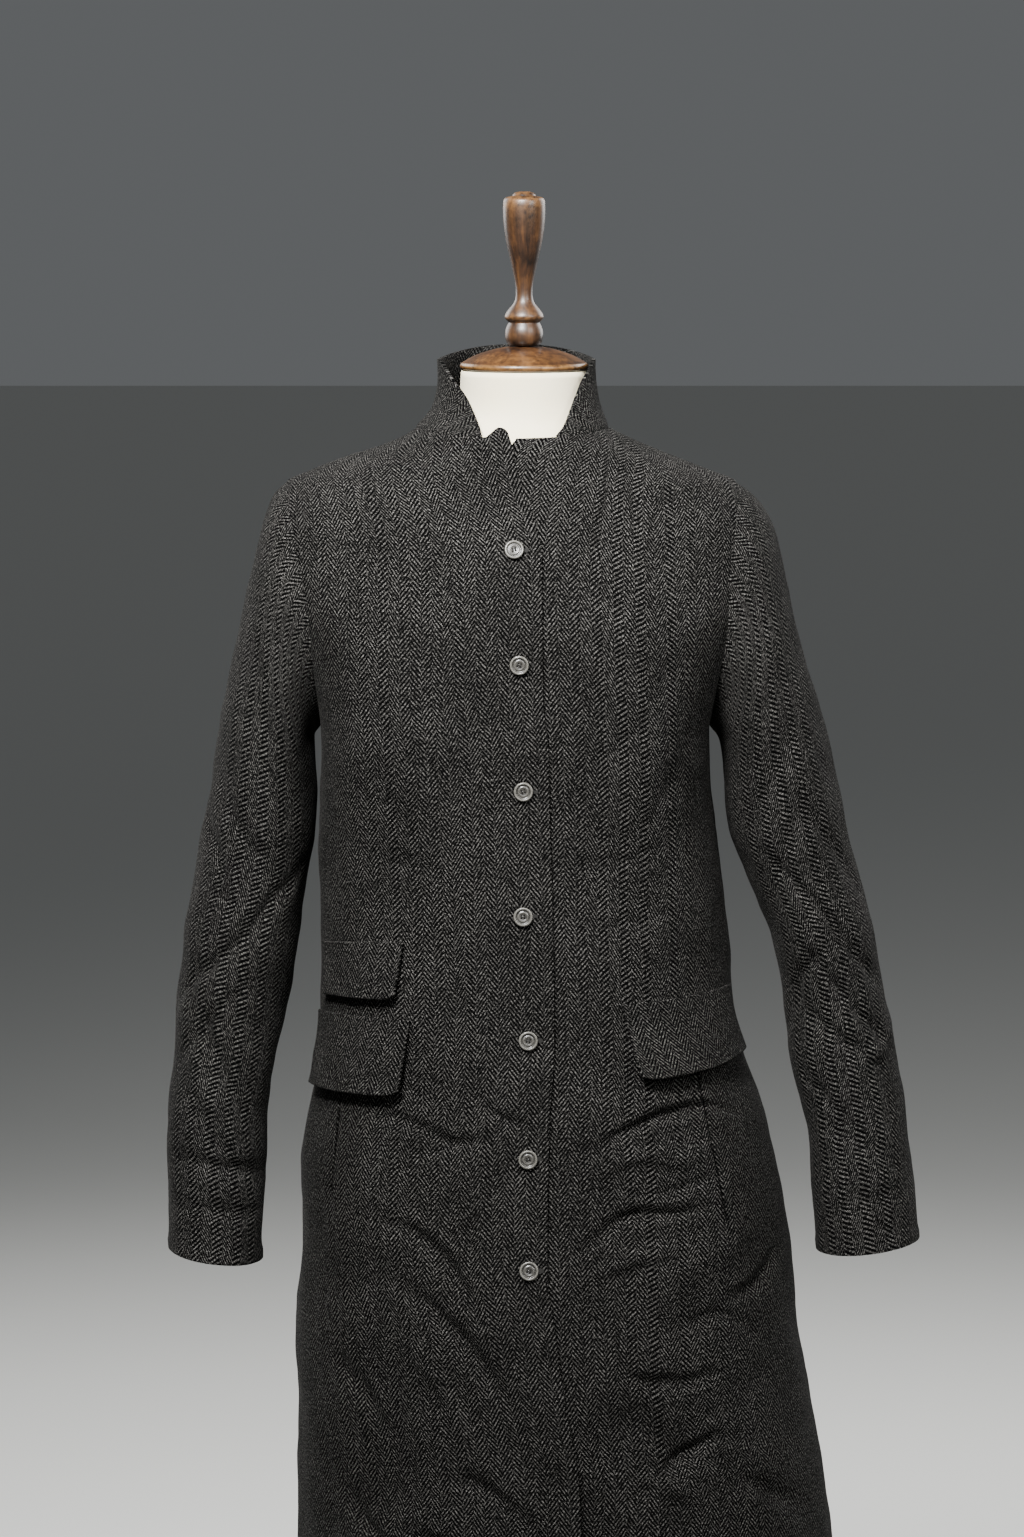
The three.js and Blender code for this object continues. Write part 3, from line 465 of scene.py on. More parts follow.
BODY = table(
    "z left right front back power",
    (0.478, -0.1840, 0.2510, 0.174, 0.170, 2.10),
    (0.531, -0.1830, 0.2450, 0.170, 0.166, 2.10),
    (0.598, -0.1820, 0.2320, 0.165, 0.161, 2.15),
    (0.664, -0.1840, 0.2210, 0.159, 0.157, 2.20),
    (0.732, -0.1790, 0.2150, 0.152, 0.152, 2.20),
    (0.790, -0.1790, 0.2060, 0.146, 0.148, 2.25),
    (0.844, -0.1710, 0.1910, 0.141, 0.142, 2.25),
    (0.884, -0.1650, 0.1770, 0.137, 0.136, 2.25),
    (0.925, -0.1635, 0.1680, 0.134, 0.130, 2.25),
    (0.975, -0.1630, 0.1640, 0.130, 0.124, 2.25),
    (1.040, -0.1630, 0.1580, 0.126, 0.119, 2.35),
    (1.090, -0.1625, 0.1510, 0.127, 0.119, 2.70),
    (1.149, -0.1620, 0.1475, 0.130, 0.123, 3.10),
    (1.215, -0.1670, 0.1570, 0.131, 0.128, 2.80),
    (1.275, -0.1750, 0.1610, 0.120, 0.127, 2.40),
    (1.342, -0.1890, 0.1690, 0.095, 0.107, 1.95),
    (1.352, -0.1690, 0.1470, 0.090, 0.101, 1.95),
    (1.362, -0.1430, 0.1210, 0.086, 0.096, 1.95),
    (1.370, -0.1170, 0.1010, 0.081, 0.091, 2.00),
    (1.378, -0.0980, 0.0830, 0.077, 0.086, 2.10),
    (1.386, -0.0860, 0.0670, 0.073, 0.080, 2.20),
)
ARM_SEAM = table(
    "z right left",
    (1.149, 0.162, 0.1475),
    (1.170, 0.163, 0.1500),
    (1.190, 0.165, 0.1530),
    (1.215, 0.167, 0.1570),
    (1.240, 0.169, 0.1600),
    (1.265, 0.173, 0.1605),
    (1.290, 0.178, 0.1630),
    (1.318, 0.184, 0.1670),
    (1.342, 0.189, 0.1690),
)

# A row holds a line's two ends as X and Z, how far its middle bows sideways, half its width and
# its height. Large folds deepen towards their second end. Fine creases fade at both ends and
# raise the cloth a little on each side.
FRONT_FOLDS = [
    (0.050, 0.700, 0.066, 0.600, 0, 0.022, -0.006),
    (0.066, 0.600, 0.082, 0.478, 0, 0.026, -0.011),
    (0.080, 0.706, 0.095, 0.606, 0, 0.016, -0.004),
    (0.095, 0.606, 0.122, 0.588, 0, 0.015, -0.006),
    (0.122, 0.588, 0.190, 0.640, 0, 0.016, -0.004),
    (0.105, 0.718, 0.172, 0.757, 0, 0.015, 0.005),
    (0.125, 0.560, 0.150, 0.478, 0, 0.024, 0.006),
    (-0.117, 0.715, -0.113, 0.560, 0, 0.024, -0.007),
    (-0.067, 0.635, 0.020, 0.565, 0, 0.020, -0.005),
    (-0.060, 0.600, -0.070, 0.478, 0, 0.026, 0.005),
]
BACK_FOLDS = [
    (-0.072, 0.720, -0.088, 0.478, 0, 0.028, -0.010),
    (0.058, 0.700, 0.084, 0.478, 0, 0.030, -0.011),
    (-0.005, 0.640, 0.000, 0.478, 0, 0.026, 0.006),
    (0.150, 0.660, 0.178, 0.478, 0, 0.026, -0.007),
    (-0.105, 1.040, 0.040, 1.018, 0, 0.018, -0.004),
    (0.110, 1.062, 0.010, 0.990, 0, 0.018, -0.004),
]
FRONT_CREASES = [
    (0.050, 0.826, 0.172, 0.846, 0.016, 0.0060, -0.0074),
    (0.058, 0.808, 0.150, 0.820, 0.010, 0.0075, 0.0046),
    (0.038, 0.746, 0.150, 0.772, 0.014, 0.0070, -0.0064),
    (0.052, 0.728, 0.124, 0.750, 0.004, 0.0065, 0.0044),
    (0.100, 0.792, 0.156, 0.800, 0.006, 0.0060, -0.0036),
    (0.158, 0.700, 0.207, 0.742, -0.006, 0.0075, -0.0064),
    (0.074, 0.666, 0.156, 0.640, -0.012, 0.0075, -0.0060),
    (0.120, 0.690, 0.190, 0.676, 0.006, 0.0070, -0.0046),
    (0.096, 0.560, 0.172, 0.590, 0.010, 0.0070, -0.0068),
    (0.090, 0.574, 0.130, 0.546, 0.004, 0.0065, 0.0054),
    (0.168, 0.560, 0.226, 0.518, 0.008, 0.0080, -0.0066),
    (0.150, 0.520, 0.196, 0.492, -0.006, 0.0080, -0.0048),
    (-0.040, 0.876, 0.014, 0.838, -0.005, 0.0055, -0.0052),
    (-0.118, 0.852, -0.044, 0.838, -0.008, 0.0065, -0.0050),
    (-0.092, 0.808, -0.018, 0.842, 0.007, 0.0065, -0.0034),
    (-0.112, 0.764, -0.036, 0.700, 0.010, 0.0080, -0.0066),
    (-0.098, 0.716, -0.010, 0.628, 0.010, 0.0090, -0.0074),
    (-0.086, 0.660, -0.044, 0.590, 0.006, 0.0080, 0.0046),
    (-0.152, 0.664, -0.118, 0.606, 0.005, 0.0075, -0.0064),
    (-0.056, 0.566, 0.012, 0.528, 0.006, 0.0080, -0.0070),
    (-0.142, 0.548, -0.096, 0.498, -0.005, 0.0080, -0.0066),
    (-0.090, 0.528, -0.040, 0.490, 0.004, 0.0080, -0.0056),
    (0.067, 1.380, 0.060, 1.306, 0.004, 0.0055, -0.0046),
    (0.079, 1.376, 0.092, 1.296, 0.003, 0.0060, -0.0036),
    (0.048, 1.368, 0.040, 1.322, -0.002, 0.0060, -0.0024),
    (-0.062, 1.372, -0.076, 1.296, -0.004, 0.0080, -0.0026),
    (0.116, 1.196, 0.040, 1.120, 0.008, 0.0120, -0.0016),
    (-0.124, 1.180, -0.050, 1.110, -0.008, 0.0120, -0.0016),
    (0.128, 1.150, 0.086, 1.076, 0.006, 0.0080, -0.0020),
    (0.112, 1.068, 0.030, 1.042, 0.006, 0.0090, -0.0018),
    (-0.128, 1.054, -0.070, 1.038, 0.004, 0.0080, -0.0018),
    (0.120, 1.014, 0.060, 0.998, -0.005, 0.0075, -0.0016),
    (0.034, 1.250, 0.036, 1.140, 0.002, 0.0080, -0.0016),
    (-0.048, 1.170, -0.052, 1.080, 0.003, 0.0080, -0.0014),
    (0.032, 0.980, 0.062, 0.896, -0.004, 0.0080, -0.0030),
    (-0.070, 0.980, -0.040, 0.912, 0.004, 0.0080, -0.0024),
]
BACK_CREASES = [
    (-0.118, 1.010, -0.020, 1.000, 0.006, 0.0070, -0.0050),
    (0.020, 1.004, 0.120, 1.024, 0.008, 0.0070, -0.0054),
    (-0.090, 1.072, 0.010, 1.060, -0.008, 0.0080, -0.0040),
    (0.115, 1.180, 0.050, 1.110, 0.006, 0.0100, -0.0042),
    (-0.120, 1.190, -0.055, 1.120, -0.006, 0.0100, -0.0042),
    (-0.030, 0.952, 0.050, 0.944, 0.006, 0.0070, -0.0036),
    (0.060, 0.880, 0.135, 0.850, 0.006, 0.0080, -0.0046),
    (-0.130, 0.860, -0.060, 0.880, 0.006, 0.0080, -0.0044),
    (0.100, 0.760, 0.160, 0.690, -0.008, 0.0085, -0.0054),
    (-0.140, 0.720, -0.104, 0.640, 0.006, 0.0085, -0.0050),
    (0.010, 0.620, 0.048, 0.560, 0.005, 0.0080, -0.0044),
    (0.110, 0.590, 0.150, 0.530, 0.005, 0.0080, -0.0050),
    (-0.060, 0.800, -0.010, 0.760, 0.006, 0.0080, -0.0034),
    (-0.052, 1.350, -0.064, 1.280, 0.004, 0.0080, -0.0026),
    (0.048, 1.352, 0.062, 1.284, -0.004, 0.0080, -0.0026),
]


def crease_height(folds, creases, x, level, bent):
    """How high a panel's folds raise it at its levels, and its fine creases at the bent ones."""
    height = np.zeros(np.shape(x))
    for sharp, z, rows in ((False, level, folds), (True, bent, creases)):
        for x1, z1, x2, z2, bow, width, rise in rows:
            long = math.hypot(x2 - x1, z2 - z1)
            run_x = (x2 - x1) / long
            run_z = (z2 - z1) / long
            along = ((x - x1) * run_x + (z - z1) * run_z) / long
            inside = np.clip(along, 0, 1)
            past = (along - inside) * long / width
            off = ((z - z1) * run_x - (x - x1) * run_z - 4 * bow * inside * (1 - inside)) / width
            shape = np.exp(-(off ** 2) - past ** 2)
            if sharp:
                shape *= (1 - 0.7 * off ** 2) * (0.2 + 0.8 * np.sin(math.pi * inside))
            else:
                shape *= 0.55 + 0.45 * inside
            height += rise * shape
    return height


def armhole_depth(level, facing):
    """How far in front of or behind the middle the armhole seam lies."""
    turn = 2 * (level - UNDERARM_LEVEL) / (SHOULDER_LEVEL - UNDERARM_LEVEL) - 1
    size = np.where(facing > 0, ARMHOLE_FRONT, ARMHOLE_BACK)
    return size * np.sqrt(np.clip(1 - turn ** 2, 0, 1))


def body_section(level, facing):
    """The coat's level section. Beside the armholes it is wide enough to pass through their seams."""
    section = {name: read(BODY, "z", name, level) for name in BODY}
    beside = (level > UNDERARM_LEVEL) & (level < SHOULDER_LEVEL)
    right = -read(ARM_SEAM, "z", "right", level)
    left = read(ARM_SEAM, "z", "left", level)
    depth = np.where(facing > 0, section["front"], section["back"])
    reach = (armhole_depth(level, facing) / depth) ** section["power"]
    half = (left - right) / 2 / (1 - reach) ** (1 / section["power"])
    section["left"] = np.where(beside, (left + right) / 2 - half, section["left"])
    section["right"] = np.where(beside, (left + right) / 2 + half, section["right"])
    return section


RIPPLES = ((0.085, 0.0026), (0.036, 0.0013), (0.016, 0.0005))
CREASE_WANDER = ((0.060, 0.013), (0.024, 0.0025))
SIDE_SHARPNESS = 6
ARM_MARGIN = 0.03
ARM_FADE = 0.04


def uneven(x, y, z, sizes):
    """The sum of smooth noises at each point, given by their sizes and heights."""
    flat = np.stack(np.broadcast_arrays(x, y, z), axis=-1)
    heights = [
        sum(rise * noise.noise(Vector(point) / size) for size, rise in sizes)
        for point in flat.reshape(-1, 3)
    ]
    return np.array(heights).reshape(flat.shape[:-1])


def coat_point(level, angle, proud=0.0):
    """A point of the coat's outer face, moved out by proud."""
    level, angle, proud = np.broadcast_arrays(level, angle, proud)
    facing = np.where(np.cos(angle) >= 0, 1, -1)
    section = body_section(level, facing)
    x, y = oval(section, angle)
    side = np.abs(np.sin(angle)) ** SIDE_SHARPNESS
    bent = level + uneven(x, y, level, CREASE_WANDER)
    folds = np.where(
        facing > 0,
        crease_height(FRONT_FOLDS, FRONT_CREASES, x, level, bent),
        crease_height(BACK_FOLDS, BACK_CREASES, x, level, bent),
    ) * (1 - side)
    reach = np.where(x < 0, read(ARM_SEAM, "z", "right", level), read(ARM_SEAM, "z", "left", level))
    by_arm = ease((level - UNDERARM_LEVEL + ARM_MARGIN) / ARM_MARGIN)
    still = 1 - by_arm * (1 - ease((reach - np.abs(x)) / ARM_FADE))
    x, y = oval(section, angle, proud + folds + uneven(x, y, level, RIPPLES) * still)
    return np.stack([x, y, level + neck_rise(angle, level)], axis=-1)


def seam_angle(level, facing):
    """The angle, from the front or from the back, at which a panel ends at its seam."""
    section = body_section(level, facing)
    depth = section["front"] if facing > 0 else section["back"]
    return np.arccos((armhole_depth(level, facing) / depth) ** (section["power"] / 2))


def angle_at_x(level, x):
    """The angle at which the front of a section reaches a given X."""
    section = body_section(level, 1)
    middle = (section["left"] + section["right"]) / 2
    half = (section["right"] - section["left"]) / 2
    share = np.clip(np.abs(x - middle) / half, 0, 1)
    return np.sign(x - middle) * np.arcsin(share ** (section["power"] / 2))


def spaced_angles(level, facing, start, end, near, count):
    """Angles from start to end, first at the near distances and then evenly over the surface."""
    section = body_section(level, facing)
    shares = np.linspace(-1, 1, 401)
    by_width = np.sign(shares) * np.arcsin(np.abs(shares) ** (section["power"] / 2))
    by_depth = np.sign(shares) * np.arccos((1 - np.abs(shares)) ** (section["power"] / 2))
    low = min(start, end)
    high = max(start, end)
    dense = np.unique(np.concatenate([by_width, by_depth, [low, high]]))
    dense = dense[(dense >= low) & (dense <= high)]
    if end < start:
        dense = dense[::-1]
    x, y = oval(section, dense if facing > 0 else math.pi + dense)
    steps = np.hypot(np.diff(x), np.diff(y))
    arc = np.concatenate([[0], np.cumsum(steps)])
    wanted = np.concatenate([near, np.linspace(near[-1], arc[-1], count + 1)[1:]])
    return np.interp(wanted, arc, dense)


def body_levels():
    """The levels of a panel's rows, closer together at the ends of the armholes."""
    low = np.linspace(HEM_LEVEL, UNDERARM_LEVEL, 210)[:-1]
    turns = np.linspace(0, math.pi, 62)
    arm = UNDERARM_LEVEL + (SHOULDER_LEVEL - UNDERARM_LEVEL) / 2 * (1 - np.cos(turns))
    high = np.linspace(SHOULDER_LEVEL, NECK_LEVEL, 22)[1:]
    return np.concatenate([low, arm, high])


# Herringbone wool: a two-by-two twill that turns back every 8.7 mm, woven from charcoal warp and
# lighter grey weft and then lightly napped, so that the lines come and go under short fibres.
# The real lines are 2.2 mm apart up the cloth. They are drawn 4.0 mm apart, or they wouldn't show.
STRIPE_WIDTH = 0.0087
TWILL_PITCH = 0.0040
TWILL_SLOPE = 1.3


def herringbone(name, dark):
    material, tree = new_material(name)
    grain = node(tree, "UVMap", uv_map="grain")
    split = node(tree, "SeparateXYZ", {0: grain})
    across, along = split.outputs[0], split.outputs[1]
    slow = node(tree, "TexNoise", {"Vector": grain, "Scale": 50.0, "Detail": 1.0})
    wander = node(tree, "MapRange", {"Value": slow, "To Min": -0.0006, "To Max": 0.0006})
    folded = node(tree, "Math", {0: across, 1: STRIPE_WIDTH}, operation="PINGPONG")
    climb = node(tree, "Math", {
        0: folded, 1: TWILL_SLOPE, 2: along}, operation="MULTIPLY_ADD")
    climb = node(tree, "Math", {0: climb, 1: wander}, operation="ADD")
    lines = node(tree, "Math", {0: climb, 1: TWILL_PITCH}, operation="DIVIDE")
    stripe = node(tree, "Math", {0: across, 1: STRIPE_WIDTH}, operation="DIVIDE")
    stripe = node(tree, "Math", {0: stripe}, operation="FLOOR")
    stripe = node(tree, "Math", {0: stripe, 1: 2.0}, operation="FLOORED_MODULO")
    broken = node(tree, "Math", {0: stripe, 1: 0.5, 2: lines}, operation="MULTIPLY_ADD")
    turns = node(tree, "Math", {0: broken, 1: 2 * math.pi}, operation="MULTIPLY")
    twill = node(tree, "Math", {0: turns}, operation="SINE")
    ridge = node(tree, "MapRange", {"Value": twill, "From Min": -0.35, "From Max": 0.55})

    # The nap hides the lines in patches, and each yarn is a mix of dark and light fibres.
    patch = node(tree, "TexNoise", {"Vector": grain, "Scale": 22.0, "Detail": 2.0})
    clear = node(tree, "MapRange", {
        "Value": patch, "From Min": 0.36, "From Max": 0.60,
        "To Min": 0.8})
    swing = node(tree, "Math", {0: ridge, 1: 0.5}, operation="SUBTRACT")
    yarn = node(tree, "Math", {0: swing, 1: clear, 2: 0.43}, operation="MULTIPLY_ADD")
    fuzz = node(tree, "TexNoise", {"Vector": grain, "Scale": 1100.0, "Detail": 2.0})
    fibres = node(tree, "MapRange", {
        "Value": fuzz, "From Min": 0.32, "From Max": 0.70, "To Min": 0.30, "To Max": 1.80})
    clumps = node(tree, "TexNoise", {"Vector": grain, "Scale": 520.0, "Detail": 2.0})
    heather = node(tree, "MapRange", {
        "Value": clumps, "From Min": 0.34, "From Max": 0.68, "To Min": 0.45, "To Max": 1.60})
    mixed = node(tree, "Math", {0: fibres, 1: heather}, operation="MULTIPLY")
    mixed = node(tree, "Math", {0: yarn, 1: mixed}, operation="MULTIPLY")
    mixed = node(tree, "Math", {0: mixed, 1: 2.6}, operation="POWER")
    light_share = node(tree, "Math", {0: mixed, 1: 0.30}, operation="MULTIPLY")
    wool = node(tree, "Mix", {
        0: light_share, 6: colour(dark), 7: colour("#62605d")}, data_type="RGBA")
    stray = node(tree, "TexNoise", {"Vector": grain, "Scale": 560.0, "Detail": 1.0})
    hairs = node(tree, "MapRange", {
        "Value": stray, "From Min": 0.62, "From Max": 0.74, "To Max": 0.45})
    flecked = node(tree, "Mix", {
        0: hairs, 6: wool, 7: colour("#54534f")}, data_type="RGBA")

    # The cloth's tone drifts slowly, and the seam attribute paints shade into a sewn seam's deep
    # valley.
    cloud = node(tree, "TexNoise", {"Vector": grain, "Scale": 11.0, "Detail": 3.0})
    drift = node(tree, "MapRange", {
        "Value": cloud, "From Min": 0.3, "From Max": 0.7, "To Min": 0.90, "To Max": 1.06})
    seam = node(tree, "Attribute", attribute_name="seam").outputs["Fac"]
    unshaded_by_seam = node(tree, "Math", {0: 1.0, 1: seam}, operation="SUBTRACT")
    drift_and_seam_shade = node(tree, "Math", {0: drift, 1: unshaded_by_seam}, operation="MULTIPLY")
    drifted_and_seam_shaded = node(tree, "VectorMath", {0: flecked, "Scale": drift_and_seam_shade}, operation="SCALE")
    pile = node(tree, "Math", {0: ridge, 1: 0.5, 2: fuzz}, operation="MULTIPLY_ADD")
    bump = node(tree, "Bump", {"Height": pile, "Strength": 0.25, "Distance": 0.0003})
    finish_material(tree, node(tree, "BsdfPrincipled", {
        "Base Color": drifted_and_seam_shaded,
        "Roughness": 0.95,
        "Specular IOR Level": 0.02,
        "Sheen Weight": 0.015,
        "Sheen Roughness": 0.45,
        "Sheen Tint": colour("#b9b8b4"),
        "Normal": bump,
    }))
    return material


coat_wool = herringbone("herringbone_wool", "#030303")
EDGE_ROUNDING = 0.0006


def sew(piece, node_name, thickness, rounding):
    """Gives a cut sheet its thickness and rounded edges, attaches it to the root and hides the part
    it replaces.
    """
    wall = piece.modifiers.new("cloth_thickness", "SOLIDIFY")
    wall.thickness = thickness
    wall.offset = -1.0
    wall.use_quality_normals = True
    edge = piece.modifiers.new("soft_edges", "BEVEL")
    edge.width = rounding
    edge.segments = 2
    edge.limit_method = "ANGLE"
    edge.angle_limit = math.radians(55)
    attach(piece, "root")
    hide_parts(node_name)


BACK_COLUMNS = 120
levels = body_levels()
back_angles = np.array([
    math.pi + spaced_angles(level, -1, -seam_angle(level, -1), seam_angle(level, -1), [0.0],
                            BACK_COLUMNS)
    for level in levels
])
back_points = coat_point(levels[:, None], back_angles)
back = new_piece("back_panel", cloth_grid(back_points, BACK_COLUMNS // 2), [coat_wool])
sew(back, "back", CLOTH, EDGE_ROUNDING)


# Front panels
# The wearer's right front lies on top and its edge is turned under and stitched 7 mm in. Each
# front has a short seam below its hip pocket, where the pocket's opening was sewn up.
LAP_RISE = CLOTH + 0.0018
LAP_START = 0.042
LAP_SLOPE = 0.026
LEAN_WIDTH = 0.038
CLOSING = table(
    "z over under lean",
    (0.478, 0.046, -0.004, 0.0060),
    (0.572, 0.042, -0.006, 0.0050),
    (0.635, 0.031, -0.012, 0.0040),
    (0.682, 0.025, -0.015, 0.0020),
    (0.736, 0.018, -0.016, 0),
    (0.838, 0.019, -0.017, 0),
    (0.915, 0.023, -0.017, 0),
    (1.024, 0.021, -0.021, 0),
    (1.103, 0.019, -0.021, 0),
    (1.142, 0.018, -0.022, 0),
    (1.181, 0.014, -0.024, 0),
    (1.297, 0.013, -0.027, 0),
    (1.319, 0.008, -0.025, 0.0010),
    (1.342, 0.000, -0.021, 0.0025),
    (1.357, -0.005, -0.018, 0.0035),
    (1.376, -0.009, -0.013, 0.0035),
    (1.386, -0.013, -0.006, 0.0035),
)
PEAK_HEIGHT = 0.009
PEAK_FROM_EDGE = 0.005
PEAK_REACH = 0.013
PEAK_START = 1.366
STITCH_LINE = 0.007
STITCH_VALLEY_DEPTH = 0.0005
STITCH_VALLEY_WIDTH = 0.0006
EDGE_COLUMNS = [
    0, 0.0012, 0.003, 0.005, 0.0063, STITCH_LINE, 0.0077, 0.009, 0.012, 0.016, 0.022, 0.028,
]
FRONT_COLUMNS = 72


def closing_proud(level, x):
    """How far the right front stands out: it lies on the left one and leans away at its ends."""
    over = read(CLOSING, "z", "over", level)
    under = read(CLOSING, "z", "under", level)
    lap = LAP_RISE * ease((x - under + LAP_START) / LAP_SLOPE)
    return lap + read(CLOSING, "z", "lean", level) * ease(1 - (over - x) / LEAN_WIDTH)


def front_points(side):
    """Rows of points of a front, in order towards +X, between its closing edge and its seam."""
    edge = read(CLOSING, "z", "over" if side < 0 else "under", levels)
    angles = np.array([
        spaced_angles(level, 1, angle_at_x(level, x), side * seam_angle(level, 1), EDGE_COLUMNS,
                      FRONT_COLUMNS)
        for level, x in zip(levels, edge)
    ])
    rows = levels[:, None]
    points = coat_point(rows, angles)
    if side < 0:
        x = points[..., 0]
        points = coat_point(rows, angles, closing_proud(rows, x))
        near = 1 - np.abs(read(CLOSING, "z", "over", rows) - x - PEAK_FROM_EDGE) / PEAK_REACH
        high = (rows - PEAK_START) / (NECK_LEVEL - PEAK_START)
        points[..., 2] += PEAK_HEIGHT * ease(near) * ease(high)
        sunk = np.exp(-((np.array(EDGE_COLUMNS) - STITCH_LINE) / STITCH_VALLEY_WIDTH) ** 2)
        points[:, :len(EDGE_COLUMNS), 1] += STITCH_VALLEY_DEPTH * sunk
        points = points[:, ::-1]
    return points


POCKET_SEAMS = {
    -1: ((-0.1440, 0.872), (-0.1530, 0.790)),
    1: ((0.1350, 0.892), (0.1600, 0.768)),
}
SEAM_DEPTH = 0.0012
SEAM_WIDTH = 0.0014
SEAM_REACH = 0.012
# How strongly painted shade darkens the wool in a seam's valley.
SEAM_SHADE = 0.92


def sewn_line(bm, start, end):
    """Sinks a seam into a sheet along a straight line seen from the front, and paints shade in its
    valley.
    """
    seam = bm.verts.layers.float.new("seam")
    run = Vector((end[0] - start[0], 0, end[1] - start[1]))
    sideways = Vector((run.z, 0, -run.x)).normalized()
    origin = Vector((start[0], 0, start[1]))

    def close(place, margin):
        along = (place - origin).dot(run) / run.length_squared
        return -0.02 < along < 1.02 and abs((place - origin).dot(sideways)) < margin and place.y < 0

    for shift in (-SEAM_WIDTH, 0, SEAM_WIDTH):
        faces = [face for face in bm.faces if close(face.calc_center_median(), SEAM_REACH)]
        edges = {edge for face in faces for edge in face.edges}
        corners = {vertex for face in faces for vertex in face.verts}
        bmesh.ops.bisect_plane(bm, geom=[*faces, *edges, *corners], dist=1e-6,
                               plane_co=origin + sideways * shift, plane_no=sideways)
    bm.normal_update()
    for vertex in bm.verts:
        if close(vertex.co, SEAM_WIDTH * 0.3):
            vertex.co -= vertex.normal * SEAM_DEPTH
            # The seam attribute is painted shade: it darkens the wool in the valley.
            vertex[seam] = SEAM_SHADE


for side, name in ((-1, "front_right"), (1, "front_left")):
    points = front_points(side)
    bm = cloth_grid(points, points.shape[1] - 1 if side < 0 else 0)
    sewn_line(bm, *POCKET_SEAMS[side])
    piece = new_piece(f"{name}_panel", bm, [coat_wool])
    sew(piece, name, CLOTH, EDGE_ROUNDING)


# Sleeves
# Each sleeve is cut from the same wool, closed by one seam under the arm, set into the armhole
# and turned up at the cuff. The left one hangs further out and bends more at the elbow.
SLEEVE_COLUMNS = "place outX outZ inX inZ front back midY"
RIGHT_SLEEVE = [
    (0.1990, 1.333, 0.1634, 1.1460, 0.077, 0.085, 0),
    (0.2060, 1.318, 0.1648, 1.1435, 0.077, 0.083, 0),
    (0.2115, 1.292, 0.1656, 1.1410, 0.077, 0.081, 0),
    (0.2200, 1.258, 0.1660, 1.1370, 0.076, 0.079, 0),
    (0.2290, 1.218, 0.1660, 1.1310, 0.075, 0.077, 0.001),
    (0.2380, 1.175, 0.1660, 1.1180, 0.073, 0.075, 0.001),
    (0.2465, 1.125, 0.1664, 1.0930, 0.071, 0.073, 0.002),
    (0.2550, 1.078, 0.1685, 1.0600, 0.069, 0.070, 0.003),
    (0.2635, 1.033, 0.1740, 1.0250, 0.066, 0.067, 0.004),
    (0.2720, 0.979, 0.1800, 0.9770, 0.063, 0.064, 0.003),
    (0.2790, 0.927, 0.1880, 0.9270, 0.060, 0.061, 0),
    (0.2835, 0.878, 0.1990, 0.8770, 0.058, 0.058, -0.007),
    (0.2860, 0.828, 0.2060, 0.8260, 0.055, 0.055, -0.015),
    (0.2860, 0.780, 0.2070, 0.7760, 0.053, 0.053, -0.024),
    (0.2835, 0.731, 0.2095, 0.7220, 0.052, 0.051, -0.033),
]
LEFT_SLEEVE = [
    (0.1820, 1.332, 0.1494, 1.1460, 0.077, 0.085, 0),
    (0.1930, 1.317, 0.1510, 1.1440, 0.077, 0.083, 0),
    (0.2030, 1.290, 0.1530, 1.1420, 0.077, 0.081, 0),
    (0.2120, 1.254, 0.1550, 1.1390, 0.076, 0.079, 0),
    (0.2220, 1.210, 0.1570, 1.1330, 0.075, 0.077, 0.001),
    (0.2340, 1.169, 0.1585, 1.1200, 0.073, 0.075, 0.001),
    (0.2460, 1.124, 0.1595, 1.0940, 0.071, 0.073, 0.002),
    (0.2570, 1.078, 0.1640, 1.0620, 0.069, 0.070, 0.003),
    (0.2670, 1.034, 0.1780, 1.0280, 0.066, 0.067, 0.004),
    (0.2800, 0.977, 0.2000, 0.9760, 0.063, 0.064, 0.003),
    (0.2920, 0.926, 0.2085, 0.9250, 0.060, 0.061, 0),
    (0.3010, 0.878, 0.2140, 0.8770, 0.058, 0.058, -0.007),
    (0.3080, 0.826, 0.2260, 0.8260, 0.055, 0.055, -0.015),
    (0.3135, 0.782, 0.2310, 0.7790, 0.053, 0.053, -0.024),
    (0.3150, 0.740, 0.2360, 0.7295, 0.052, 0.051, -0.033),
]
# Folds round a sleeve: the level and turn of the middle, how many metres it climbs in a full
# turn, half its width along the sleeve, half its length in degrees, and its height.
# Turn 0 is the outer side, 90 the front and -90 the back.
BOTH_FOLDS = [
    (1.040, 80, 0, 0.026, 60, -0.0030),
    (0.985, 20, 0, 0.022, 50, 0.0025),
    (0.930, 130, 0, 0.024, 55, -0.0030),
    (0.880, 45, 0, 0.026, 60, -0.0025),
    (0.905, -90, 0, 0.030, 60, -0.0030),
]
RIGHT_FOLDS = [
    (0.876, 94, -0.42, 0.009, 36, -0.0062),
    (0.846, 88, -0.36, 0.011, 38, 0.0044),
    (0.798, 105, -0.05, 0.007, 50, -0.0058),
    (0.766, 100, -0.03, 0.006, 46, -0.0046),
    (0.914, 70, 0.30, 0.008, 32, -0.0044),
    (0.960, 60, 0.25, 0.009, 36, -0.0048),
    (1.006, 110, 0.30, 0.010, 36, -0.0048),
    (1.040, 50, -0.40, 0.010, 32, -0.0036),
    (1.075, 70, -0.35, 0.013, 38, -0.0044),
    (1.130, 100, -0.60, 0.014, 34, -0.0040),
    (0.930, -60, 0.20, 0.010, 40, -0.0056),
    (0.968, -110, -0.15, 0.009, 36, -0.0050),
    (0.900, -120, 0.25, 0.009, 34, -0.0044),
    (0.830, -80, -0.10, 0.010, 40, -0.0040),
]
